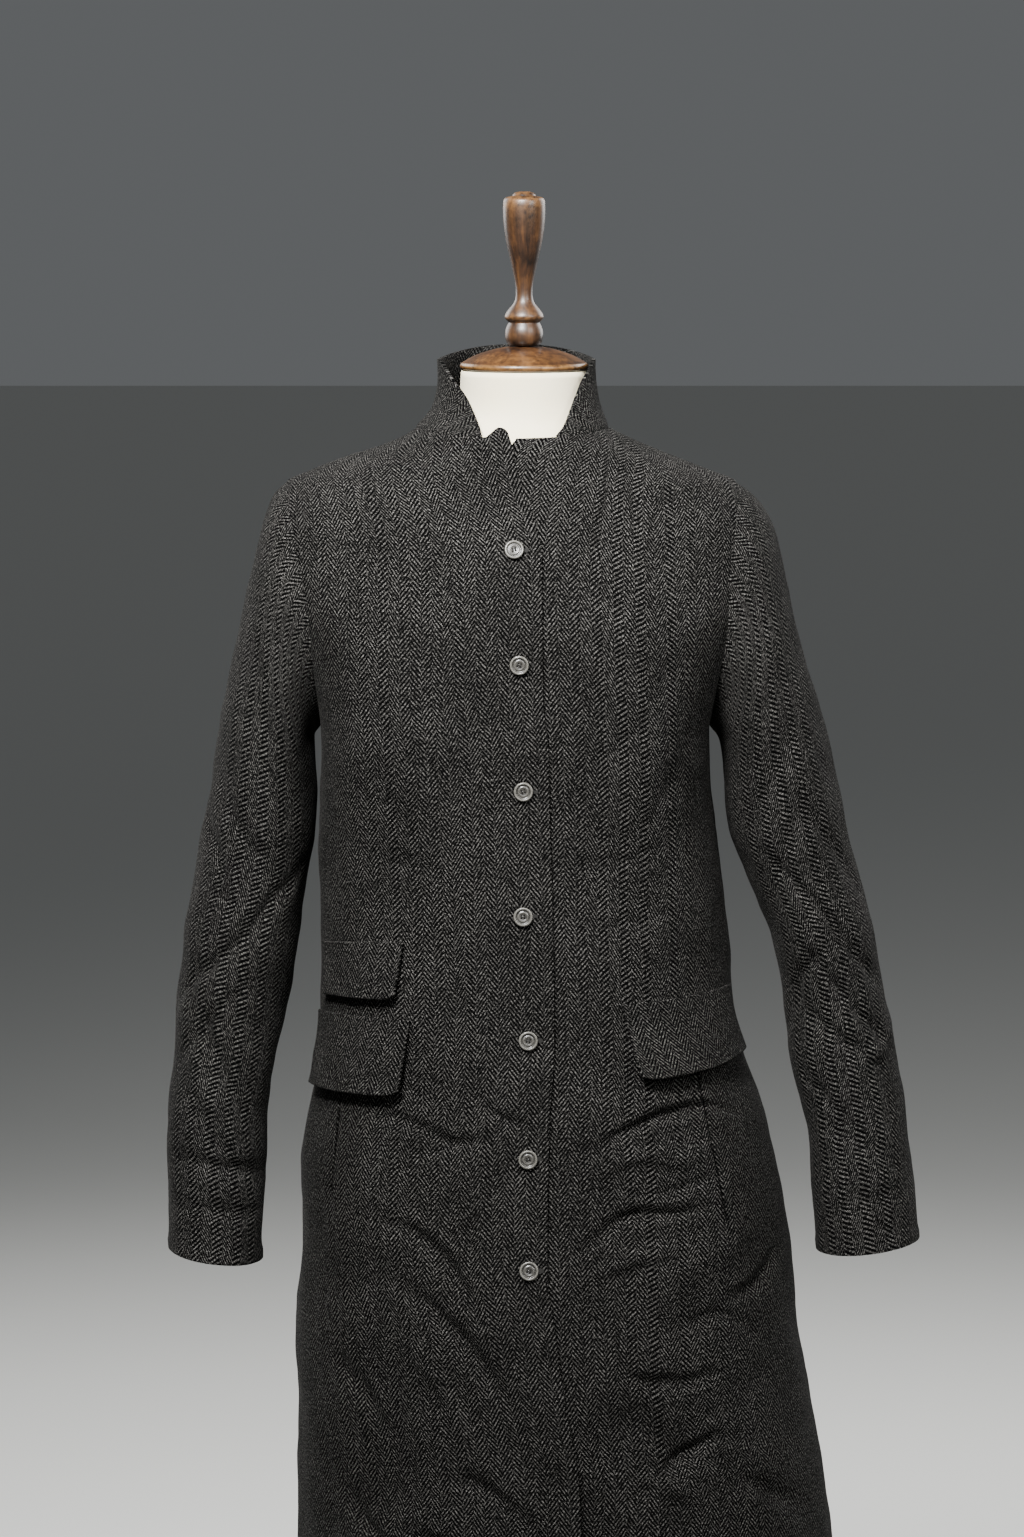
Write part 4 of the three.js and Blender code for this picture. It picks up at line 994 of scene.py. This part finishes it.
LEFT_FOLDS = [
    (0.930, 70, 0.30, 0.008, 38, -0.0060),
    (0.906, 100, 0.22, 0.008, 38, -0.0056),
    (0.955, 120, -0.30, 0.009, 34, -0.0050),
    (0.884, 60, -0.20, 0.009, 40, 0.0042),
    (0.980, 60, 0.35, 0.009, 32, -0.0042),
    (1.010, 85, 0.40, 0.010, 34, -0.0048),
    (1.046, 110, -0.45, 0.011, 30, -0.0038),
    (1.070, 60, 0.45, 0.012, 34, -0.0046),
    (1.130, 90, -0.50, 0.013, 34, -0.0044),
    (1.180, 70, 0.60, 0.014, 30, -0.0032),
    (0.846, 110, 0.25, 0.009, 36, -0.0038),
    (0.820, 90, 0.15, 0.009, 42, -0.0042),
    (0.775, 80, -0.06, 0.007, 44, -0.0038),
    (0.935, -70, -0.25, 0.010, 40, -0.0056),
    (0.972, -100, 0.15, 0.009, 36, -0.0050),
    (0.905, -110, -0.20, 0.009, 36, -0.0044),
]
SLEEVE_ROWS = 250
SLEEVE_TURNS = 120
CUFF_BAND_START = 14.80
CUFF_BAND_RISE = 0.0008


def armhole_point(side, turn):
    """A point of the armhole seam. Turn 0 is at the shoulder and a quarter turn at the front."""
    middle = (UNDERARM_LEVEL + SHOULDER_LEVEL) / 2
    level = middle + (SHOULDER_LEVEL - UNDERARM_LEVEL) / 2 * np.cos(turn)
    depth = np.where(np.sin(turn) > 0, -ARMHOLE_FRONT, ARMHOLE_BACK)
    out = read(ARM_SEAM, "z", "right" if side < 0 else "left", level)
    return np.stack([side * out, depth * np.abs(np.sin(turn)), level], axis=-1)


def sleeve_point(side, section, turn):
    """A point of a sleeve section, an oval that leans between its outer and inner side."""
    lean = (1 + np.cos(turn)) / 2
    depth = np.where(np.sin(turn) > 0, -section["front"], section["back"])
    return np.stack(np.broadcast_arrays(
        side * (section["inX"] + (section["outX"] - section["inX"]) * lean),
        section["midY"] + depth * np.abs(np.sin(turn)),
        section["inZ"] + (section["outZ"] - section["inZ"]) * lean,
    ), axis=-1)


def sleeve_fold(folds, z, turn):
    """How high the folds raise a sleeve at a level and turn."""
    degrees = np.degrees(turn)
    height = np.zeros(np.shape(z))
    for level, middle, climb, width, spread, rise in folds:
        round_it = (degrees - middle + 180) % 360 - 180
        along = (z - level - climb * round_it / 360) / width
        height += rise * np.exp(-(along ** 2) - (round_it / spread) ** 2)
    return height


def sleeve_points(side, rows, folds):
    first = (abs(armhole_point(side, 0.0)[0]), SHOULDER_LEVEL, abs(armhole_point(side, math.pi)[0]),
             UNDERARM_LEVEL, ARMHOLE_FRONT, ARMHOLE_BACK, 0)
    cut = table(SLEEVE_COLUMNS, *[(place, *row) for place, row in enumerate([first, *rows])])
    place = np.linspace(0, len(rows), SLEEVE_ROWS)[:, None]
    turn = np.linspace(-math.pi, math.pi, SLEEVE_TURNS + 1)[None, :]
    section = {name: read(cut, "place", name, place) for name in cut}
    at_seam = {name: values[0] for name, values in cut.items()}
    bend = armhole_point(side, turn) - sleeve_point(side, at_seam, turn)
    fade = np.maximum(0, 1 - place / 3)[..., None]
    points = sleeve_point(side, section, turn) + bend * fade
    turns = np.broadcast_to(turn, points.shape[:2])
    x, y, z = np.moveaxis(points, -1, 0)
    bent = z + uneven(x, y, z, CREASE_WANDER)
    height = sleeve_fold(BOTH_FOLDS + folds, bent, turns) * ease((place - 5) / 3)
    height += uneven(x, y, z, RIPPLES) * ease(place / 3)
    height += CUFF_BAND_RISE * ease((place - CUFF_BAND_START) / 0.05)
    points[..., 0] += side * height * np.cos(turn)
    points[..., 1] -= height * np.sin(turn)
    return points[:, ::-1] if side < 0 else points


for side, name, rows, folds in (
    (-1, "sleeve_right", RIGHT_SLEEVE, RIGHT_FOLDS),
    (1, "sleeve_left", LEFT_SLEEVE, LEFT_FOLDS),
):
    points = sleeve_points(side, rows, folds)
    bm = cloth_grid(points, SLEEVE_TURNS // 2, closed=True)
    piece = new_piece(f"{name}_tube", bm, [coat_wool])
    sew(piece, name, CLOTH, EDGE_ROUNDING)


# Collar
# A stand collar of two layers, sewn to the neck seam. Its slanted front ends stand open, and it
# leans a little away from the form's neck.
COLLAR = table(
    "rise left right front back rightEnd leftEnd",
    (-0.0015, -0.0858, 0.0668, 0.0728, 0.0798, 17, 26),
    (0.0005, -0.0856, 0.0667, 0.0727, 0.0797, 17, 26),
    (0.0080, -0.0795, 0.0645, 0.069, 0.076, 21, 31),
    (0.0160, -0.0750, 0.0615, 0.066, 0.073, 27, 37),
    (0.0280, -0.0715, 0.0580, 0.064, 0.070, 36, 47),
    (0.0400, -0.0700, 0.0565, 0.063, 0.068, 50, 58),
    (0.0500, -0.0695, 0.0565, 0.063, 0.067, 66, 71),
    (0.0540, -0.0695, 0.0565, 0.063, 0.067, 75, 78),
)
COLLAR_POWER = 2.15
COLLAR_FIRM = 0.02
COLLAR_ROUNDING = 0.0011
COLLAR_ROWS = 44
COLLAR_COLUMNS = 150


def collar_points():
    rise = np.linspace(COLLAR["rise"][0], COLLAR["rise"][-1], COLLAR_ROWS)[:, None]
    section = {name: read(COLLAR, "rise", name, rise) for name in COLLAR}
    section["power"] = COLLAR_POWER
    start = np.radians(section["leftEnd"])
    end = 2 * math.pi - np.radians(section["rightEnd"])
    angle = start + (end - start) * np.linspace(0, 1, COLLAR_COLUMNS + 1)[None, :]
    x, y = oval(section, angle)
    lift = uneven(x, y, NECK_LEVEL + rise, RIPPLES) * ease(rise / COLLAR_FIRM)
    x, y = oval(section, angle, lift)
    z = NECK_LEVEL + neck_rise(angle, NECK_LEVEL) + rise
    return np.stack(np.broadcast_arrays(x, y, z), axis=-1)


bm = cloth_grid(collar_points(), COLLAR_COLUMNS // 2)
collar = new_piece("stand_collar", bm, [coat_wool])
sew(collar, "collar", DOUBLE_CLOTH, COLLAR_ROUNDING)


# Pocket flaps
# Three flaps of doubled wool, bagged out and pressed, each sewn into its pocket along the top
# edge. They stand away from the coat towards the bottom.
flap_wool = herringbone("doubled_herringbone_wool", "#040404")
FLAPS = [
    {
        "node": "ticket_flap", "top_inner_x": -0.093, "low_inner_x": -0.097, "top_outer": -71,
        "low_outer": -71, "top_inner_z": 0.990, "top_outer_z": 0.981, "low_inner_z": 0.944,
        "low_outer_z": 0.939, "stand": 0.003, "flat": (0.094, 0.046),
    },
    {
        "node": "flap_right", "top_inner_x": -0.087, "low_inner_x": -0.093, "top_outer": -78,
        "low_outer": -80, "top_inner_z": 0.930, "top_outer_z": 0.924, "low_inner_z": 0.869,
        "low_outer_z": 0.864, "stand": 0.006, "flat": (0.124, 0.063),
    },
    {
        "node": "flap_left", "top_inner_x": 0.075, "low_inner_x": 0.087, "top_outer": 74,
        "low_outer": 78, "top_inner_z": 0.942, "top_outer_z": 0.946, "low_inner_z": 0.882,
        "low_outer_z": 0.893, "stand": 0.006, "flat": (0.130, 0.062),
    },
]
FLAP_ROWS = 34
FLAP_COLUMNS = 60
FLAP_ROUNDING = 0.0012
CORNER_SHARE = 0.12
CORNER_LIFT = 0.004
FREE_EDGE_SHARE = 0.14
FREE_EDGE_LIFT = 0.0022
FLAP_WAVE = 0.25
FLAP_GAP = 0.0008


def flap_points(sizes):
    side = np.sign(sizes["top_outer"])
    up = np.linspace(0, 1, FLAP_ROWS + 1)[:, None]
    out = np.linspace(0, 1, FLAP_COLUMNS + 1)[None, :]
    top = sizes["top_inner_z"] + (sizes["top_outer_z"] - sizes["top_inner_z"]) * out
    low = sizes["low_inner_z"] + (sizes["low_outer_z"] - sizes["low_inner_z"]) * out
    corner = np.maximum(0, 1 - out / CORNER_SHARE) ** 2
    low = low + CORNER_LIFT * corner
    level = low + (top - low) * up
    inner_x = sizes["low_inner_x"] + (sizes["top_inner_x"] - sizes["low_inner_x"]) * up
    inner = angle_at_x(level, np.broadcast_to(inner_x, level.shape))
    outer = np.radians(sizes["low_outer"] + (sizes["top_outer"] - sizes["low_outer"]) * up)
    angle = inner + (outer - inner) * out
    stand = sizes["stand"] * (1 - up) ** 1.3 * (1 + FLAP_WAVE * np.sin(5 * out))
    stand += FREE_EDGE_LIFT * np.exp(-out / FREE_EDGE_SHARE) * (1 - up) ** 0.6
    points = coat_point(level, angle, DOUBLE_CLOTH + FLAP_GAP + stand)
    return points[:, ::-1] if side < 0 else points


for sizes in FLAPS:
    bm = cloth_grid(flap_points(sizes), FLAP_COLUMNS // 2)
    piece = new_piece(f"{sizes['node']}_cloth", bm, [flap_wool])
    sew(piece, sizes["node"], DOUBLE_CLOTH, FLAP_ROUNDING)


# Topstitching and buttonholes
# Dark thread runs down the turned edge of the right front. Each buttonhole is a cut bound with
# the same thread, and most of it is under its button.
BUTTONS = [
    (-0.008, 1.297), (-0.004, 1.209), (-0.001, 1.110), (-0.001, 1.012), (0.003, 0.915),
    (0.003, 0.823), (0.004, 0.736),
]
STITCH_PITCH = 0.0034
STITCH_LOW = HEM_LEVEL + 0.006
STITCH_HIGH = 1.372
STITCH_SINK = 0.0003
STITCH_HALF = (0.0013, 0.00032, 0.00030)


def polyester_thread():
    """Spun polyester thread: matt, dark grey and finely twisted."""
    material, tree = new_material("spun_polyester_thread")
    place = node(tree, "TexCoord").outputs["Object"]
    twist = node(tree, "TexNoise", {"Vector": place, "Scale": 2500.0, "Detail": 1.0})
    grey = node(tree, "Mix", {
        0: twist, 6: colour("#0c0c0b"), 7: colour("#2b2a28")}, data_type="RGBA")
    bump = node(tree, "Bump", {"Height": twist, "Strength": 0.4, "Distance": 0.0001})
    finish_material(tree, node(tree, "BsdfPrincipled", {
        "Base Color": grey,
        "Roughness": 0.85,
        "Specular IOR Level": 0.2,
        "Normal": bump,
    }))
    return material


thread = polyester_thread()


FRAME_STEP = 0.004


def front_frame(x, z, proud):
    """The place, sideways, upward and outward directions on the right front."""
    angle = angle_at_x(z, x)
    step = FRAME_STEP
    here, right, left, high, low = [
        Vector(coat_point(level, turn, closing_proud(level, x) + proud))
        for level, turn in (
            (z, angle), (z, angle_at_x(z, x + step)), (z, angle_at_x(z, x - step)),
            (z + step, angle_at_x(z + step, x)), (z - step, angle_at_x(z - step, x)),
        )
    ]
    across = (right - left).normalized()
    outward = across.cross(high - low).normalized()
    upward = outward.cross(across)
    placed = Matrix((across, upward, outward)).transposed().to_4x4()
    placed.translation = here
    return placed


bm = bmesh.new()
for z in np.arange(STITCH_LOW, STITCH_HIGH, STITCH_PITCH):
    x = float(read(CLOSING, "z", "over", z)) - STITCH_LINE
    placed = front_frame(x, z, -STITCH_SINK)
    turned_up = Matrix.Rotation(math.pi / 2, 4, "Z")
    size = Matrix.Diagonal((*STITCH_HALF, 1.0))
    bmesh.ops.create_uvsphere(bm, u_segments=6, v_segments=4, radius=1,
                              matrix=placed @ turned_up @ size)
stitches = new_piece("edge_stitching", bm, [thread])
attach(stitches, "root")

HOLE_HALF_LENGTH = 0.0085
HOLE_HALF_WIDTH = 0.0017
HOLE_SHIFT = 0.0030
HOLE_STEPS = ((0.0004, 0.0005), (0.0005, 0.0001), (0.0003, -0.0006))
placed = set()
bm = bmesh.new()
for x, z in BUTTONS:
    ring = bmesh.ops.create_circle(bm, cap_ends=True, radius=HOLE_HALF_WIDTH, segments=28)["verts"]
    for vertex in ring:
        vertex.co.x += math.copysign(HOLE_HALF_LENGTH - HOLE_HALF_WIDTH, vertex.co.x)
    face = ring[0].link_faces[0]
    for inward, upward in HOLE_STEPS:
        bmesh.ops.inset_region(bm, faces=[face], thickness=inward, depth=upward)
    corners = [vertex for vertex in bm.verts if vertex not in placed]
    bmesh.ops.transform(bm, matrix=front_frame(x + HOLE_SHIFT, z, 0.0), verts=corners)
    placed.update(corners)
buttonholes = new_piece("buttonholes", bm, [thread])
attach(buttonholes, "root")


# Buttons
# Seven 15 mm buttons with four holes, moulded to look like polished grey horn, with a raised rim
# and a dished middle. Each is sewn to the left front through its buttonhole with two stitches.
def horn():
    """Polished horn: cloudy grey-brown streaks under a gloss, with a painted highlight on the raised
    rim.
    """
    material, tree = new_material("polished_grey_horn")
    place = node(tree, "TexCoord").outputs["Object"]
    stretched = node(tree, "Mapping", {
        "Vector": place, "Rotation": (0, 0.5, 0), "Scale": (420.0, 420.0, 1100.0)})
    clouds = node(tree, "TexNoise", {
        "Vector": stretched, "Scale": 0.5, "Detail": 4.0, "Distortion": 1.2})
    streaks = node(tree, "ValToRGB", {0: clouds})
    streaks.color_ramp.elements[0].position = 0.36
    streaks.color_ramp.elements[0].color = colour("#151412")
    streaks.color_ramp.elements[1].position = 0.66
    streaks.color_ramp.elements[1].color = colour("#3d3b37")
    # The rim's paler colour is a painted highlight, where the rim's curve catches the light.
    rim = node(tree, "Attribute", attribute_name="wear_and_rim_highlight").outputs["Fac"]
    surface = node(tree, "Mix", {
        0: rim, 6: streaks, 7: colour("#5f5d57")}, data_type="RGBA")
    finish_material(tree, node(tree, "BsdfPrincipled", {
        "Base Color": surface,
        "Roughness": 0.36,
        "IOR": 1.54,
        "Coat Weight": 0.25,
        "Coat Roughness": 0.18,
    }))
    return material


grey_horn = horn()
SEAT_GAP = 0.0006
# The third value in each row is a painted highlight on the raised rim.
BUTTON = [
    (0.0000, 0.0000, 0), (0.0058, 0.0000, 0), (0.0066, 0.0004, 0), (0.0072, 0.0010, 0.3),
    (0.0075, 0.0017, 0.6), (0.0074, 0.0024, 0.9), (0.0070, 0.0029, 1.0), (0.0064, 0.0030, 1.0),
    (0.0059, 0.0028, 0.8), (0.0056, 0.0023, 0.3), (0.0053, 0.0018, 0.1), (0.0048, 0.0016, 0.0),
    (0.0043, 0.0017, 0.1), (0.0039, 0.0020, 0.5), (0.0035, 0.0021, 0.5), (0.0030, 0.0019, 0.2),
    (0.0024, 0.0017, 0.1), (0.0000, 0.0016, 0.0),
]
BUTTON_TURNS = 56
HOLE_RADIUS = 0.00065
HOLE_PLACE = 0.0012
DRILL_LENGTH = 0.003
DRILL_MIDDLE = 0.0022
BUTTON_TURN = 0.35
THREAD_LANE = 0.0002
THREAD_LEVEL = 0.00172
THREAD_HALF = (0.00026, 0.00150, 0.00050)


def button_mesh():
    """One button at the origin, facing +Z, with its four holes cut."""
    blank = new_piece("button_blank", lathe(BUTTON, BUTTON_TURNS), [grey_horn])
    bm = bmesh.new()
    for x in (-HOLE_PLACE, HOLE_PLACE):
        for y in (-HOLE_PLACE, HOLE_PLACE):
            bmesh.ops.create_cone(bm, cap_ends=True, segments=16, radius1=HOLE_RADIUS,
                                  radius2=HOLE_RADIUS, depth=DRILL_LENGTH,
                                  matrix=Matrix.Translation((x, y, DRILL_MIDDLE)))
    drill = new_piece("button_drill", bm, [])
    cut = blank.modifiers.new("holes", "BOOLEAN")
    cut.object = drill
    cut.operation = "DIFFERENCE"
    cut.solver = "EXACT"
    bpy.context.view_layer.update()
    finished = blank.evaluated_get(bpy.context.evaluated_depsgraph_get())
    drilled = bpy.data.meshes.new_from_object(finished)
    for spare in (blank, drill):
        bpy.data.objects.remove(spare)
    return drilled


drilled = button_mesh()
threads = bmesh.new()
for number, (x, z) in enumerate(BUTTONS, start=1):
    turn = BUTTON_TURN * math.sin(2.4 * number)
    seat = front_frame(x, z, SEAT_GAP) @ Matrix.Rotation(turn, 4, "Z")
    mesh = drilled.copy()
    mesh.transform(seat)
    button = bpy.data.objects.new(f"button_{number}_horn", mesh)
    bpy.context.scene.collection.objects.link(button)
    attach(button, "root")
    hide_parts(f"button_{number}")
    for place in (-HOLE_PLACE, HOLE_PLACE):
        for lane in (-THREAD_LANE, THREAD_LANE):
            bar = Matrix.Translation((place + lane, 0, THREAD_LEVEL))
            bar = bar @ Matrix.Diagonal((*THREAD_HALF, 1.0))
            bmesh.ops.create_uvsphere(threads, u_segments=8, v_segments=10, radius=1,
                                      matrix=seat @ bar)
button_threads = new_piece("button_threads", threads, [thread])
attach(button_threads, "root")
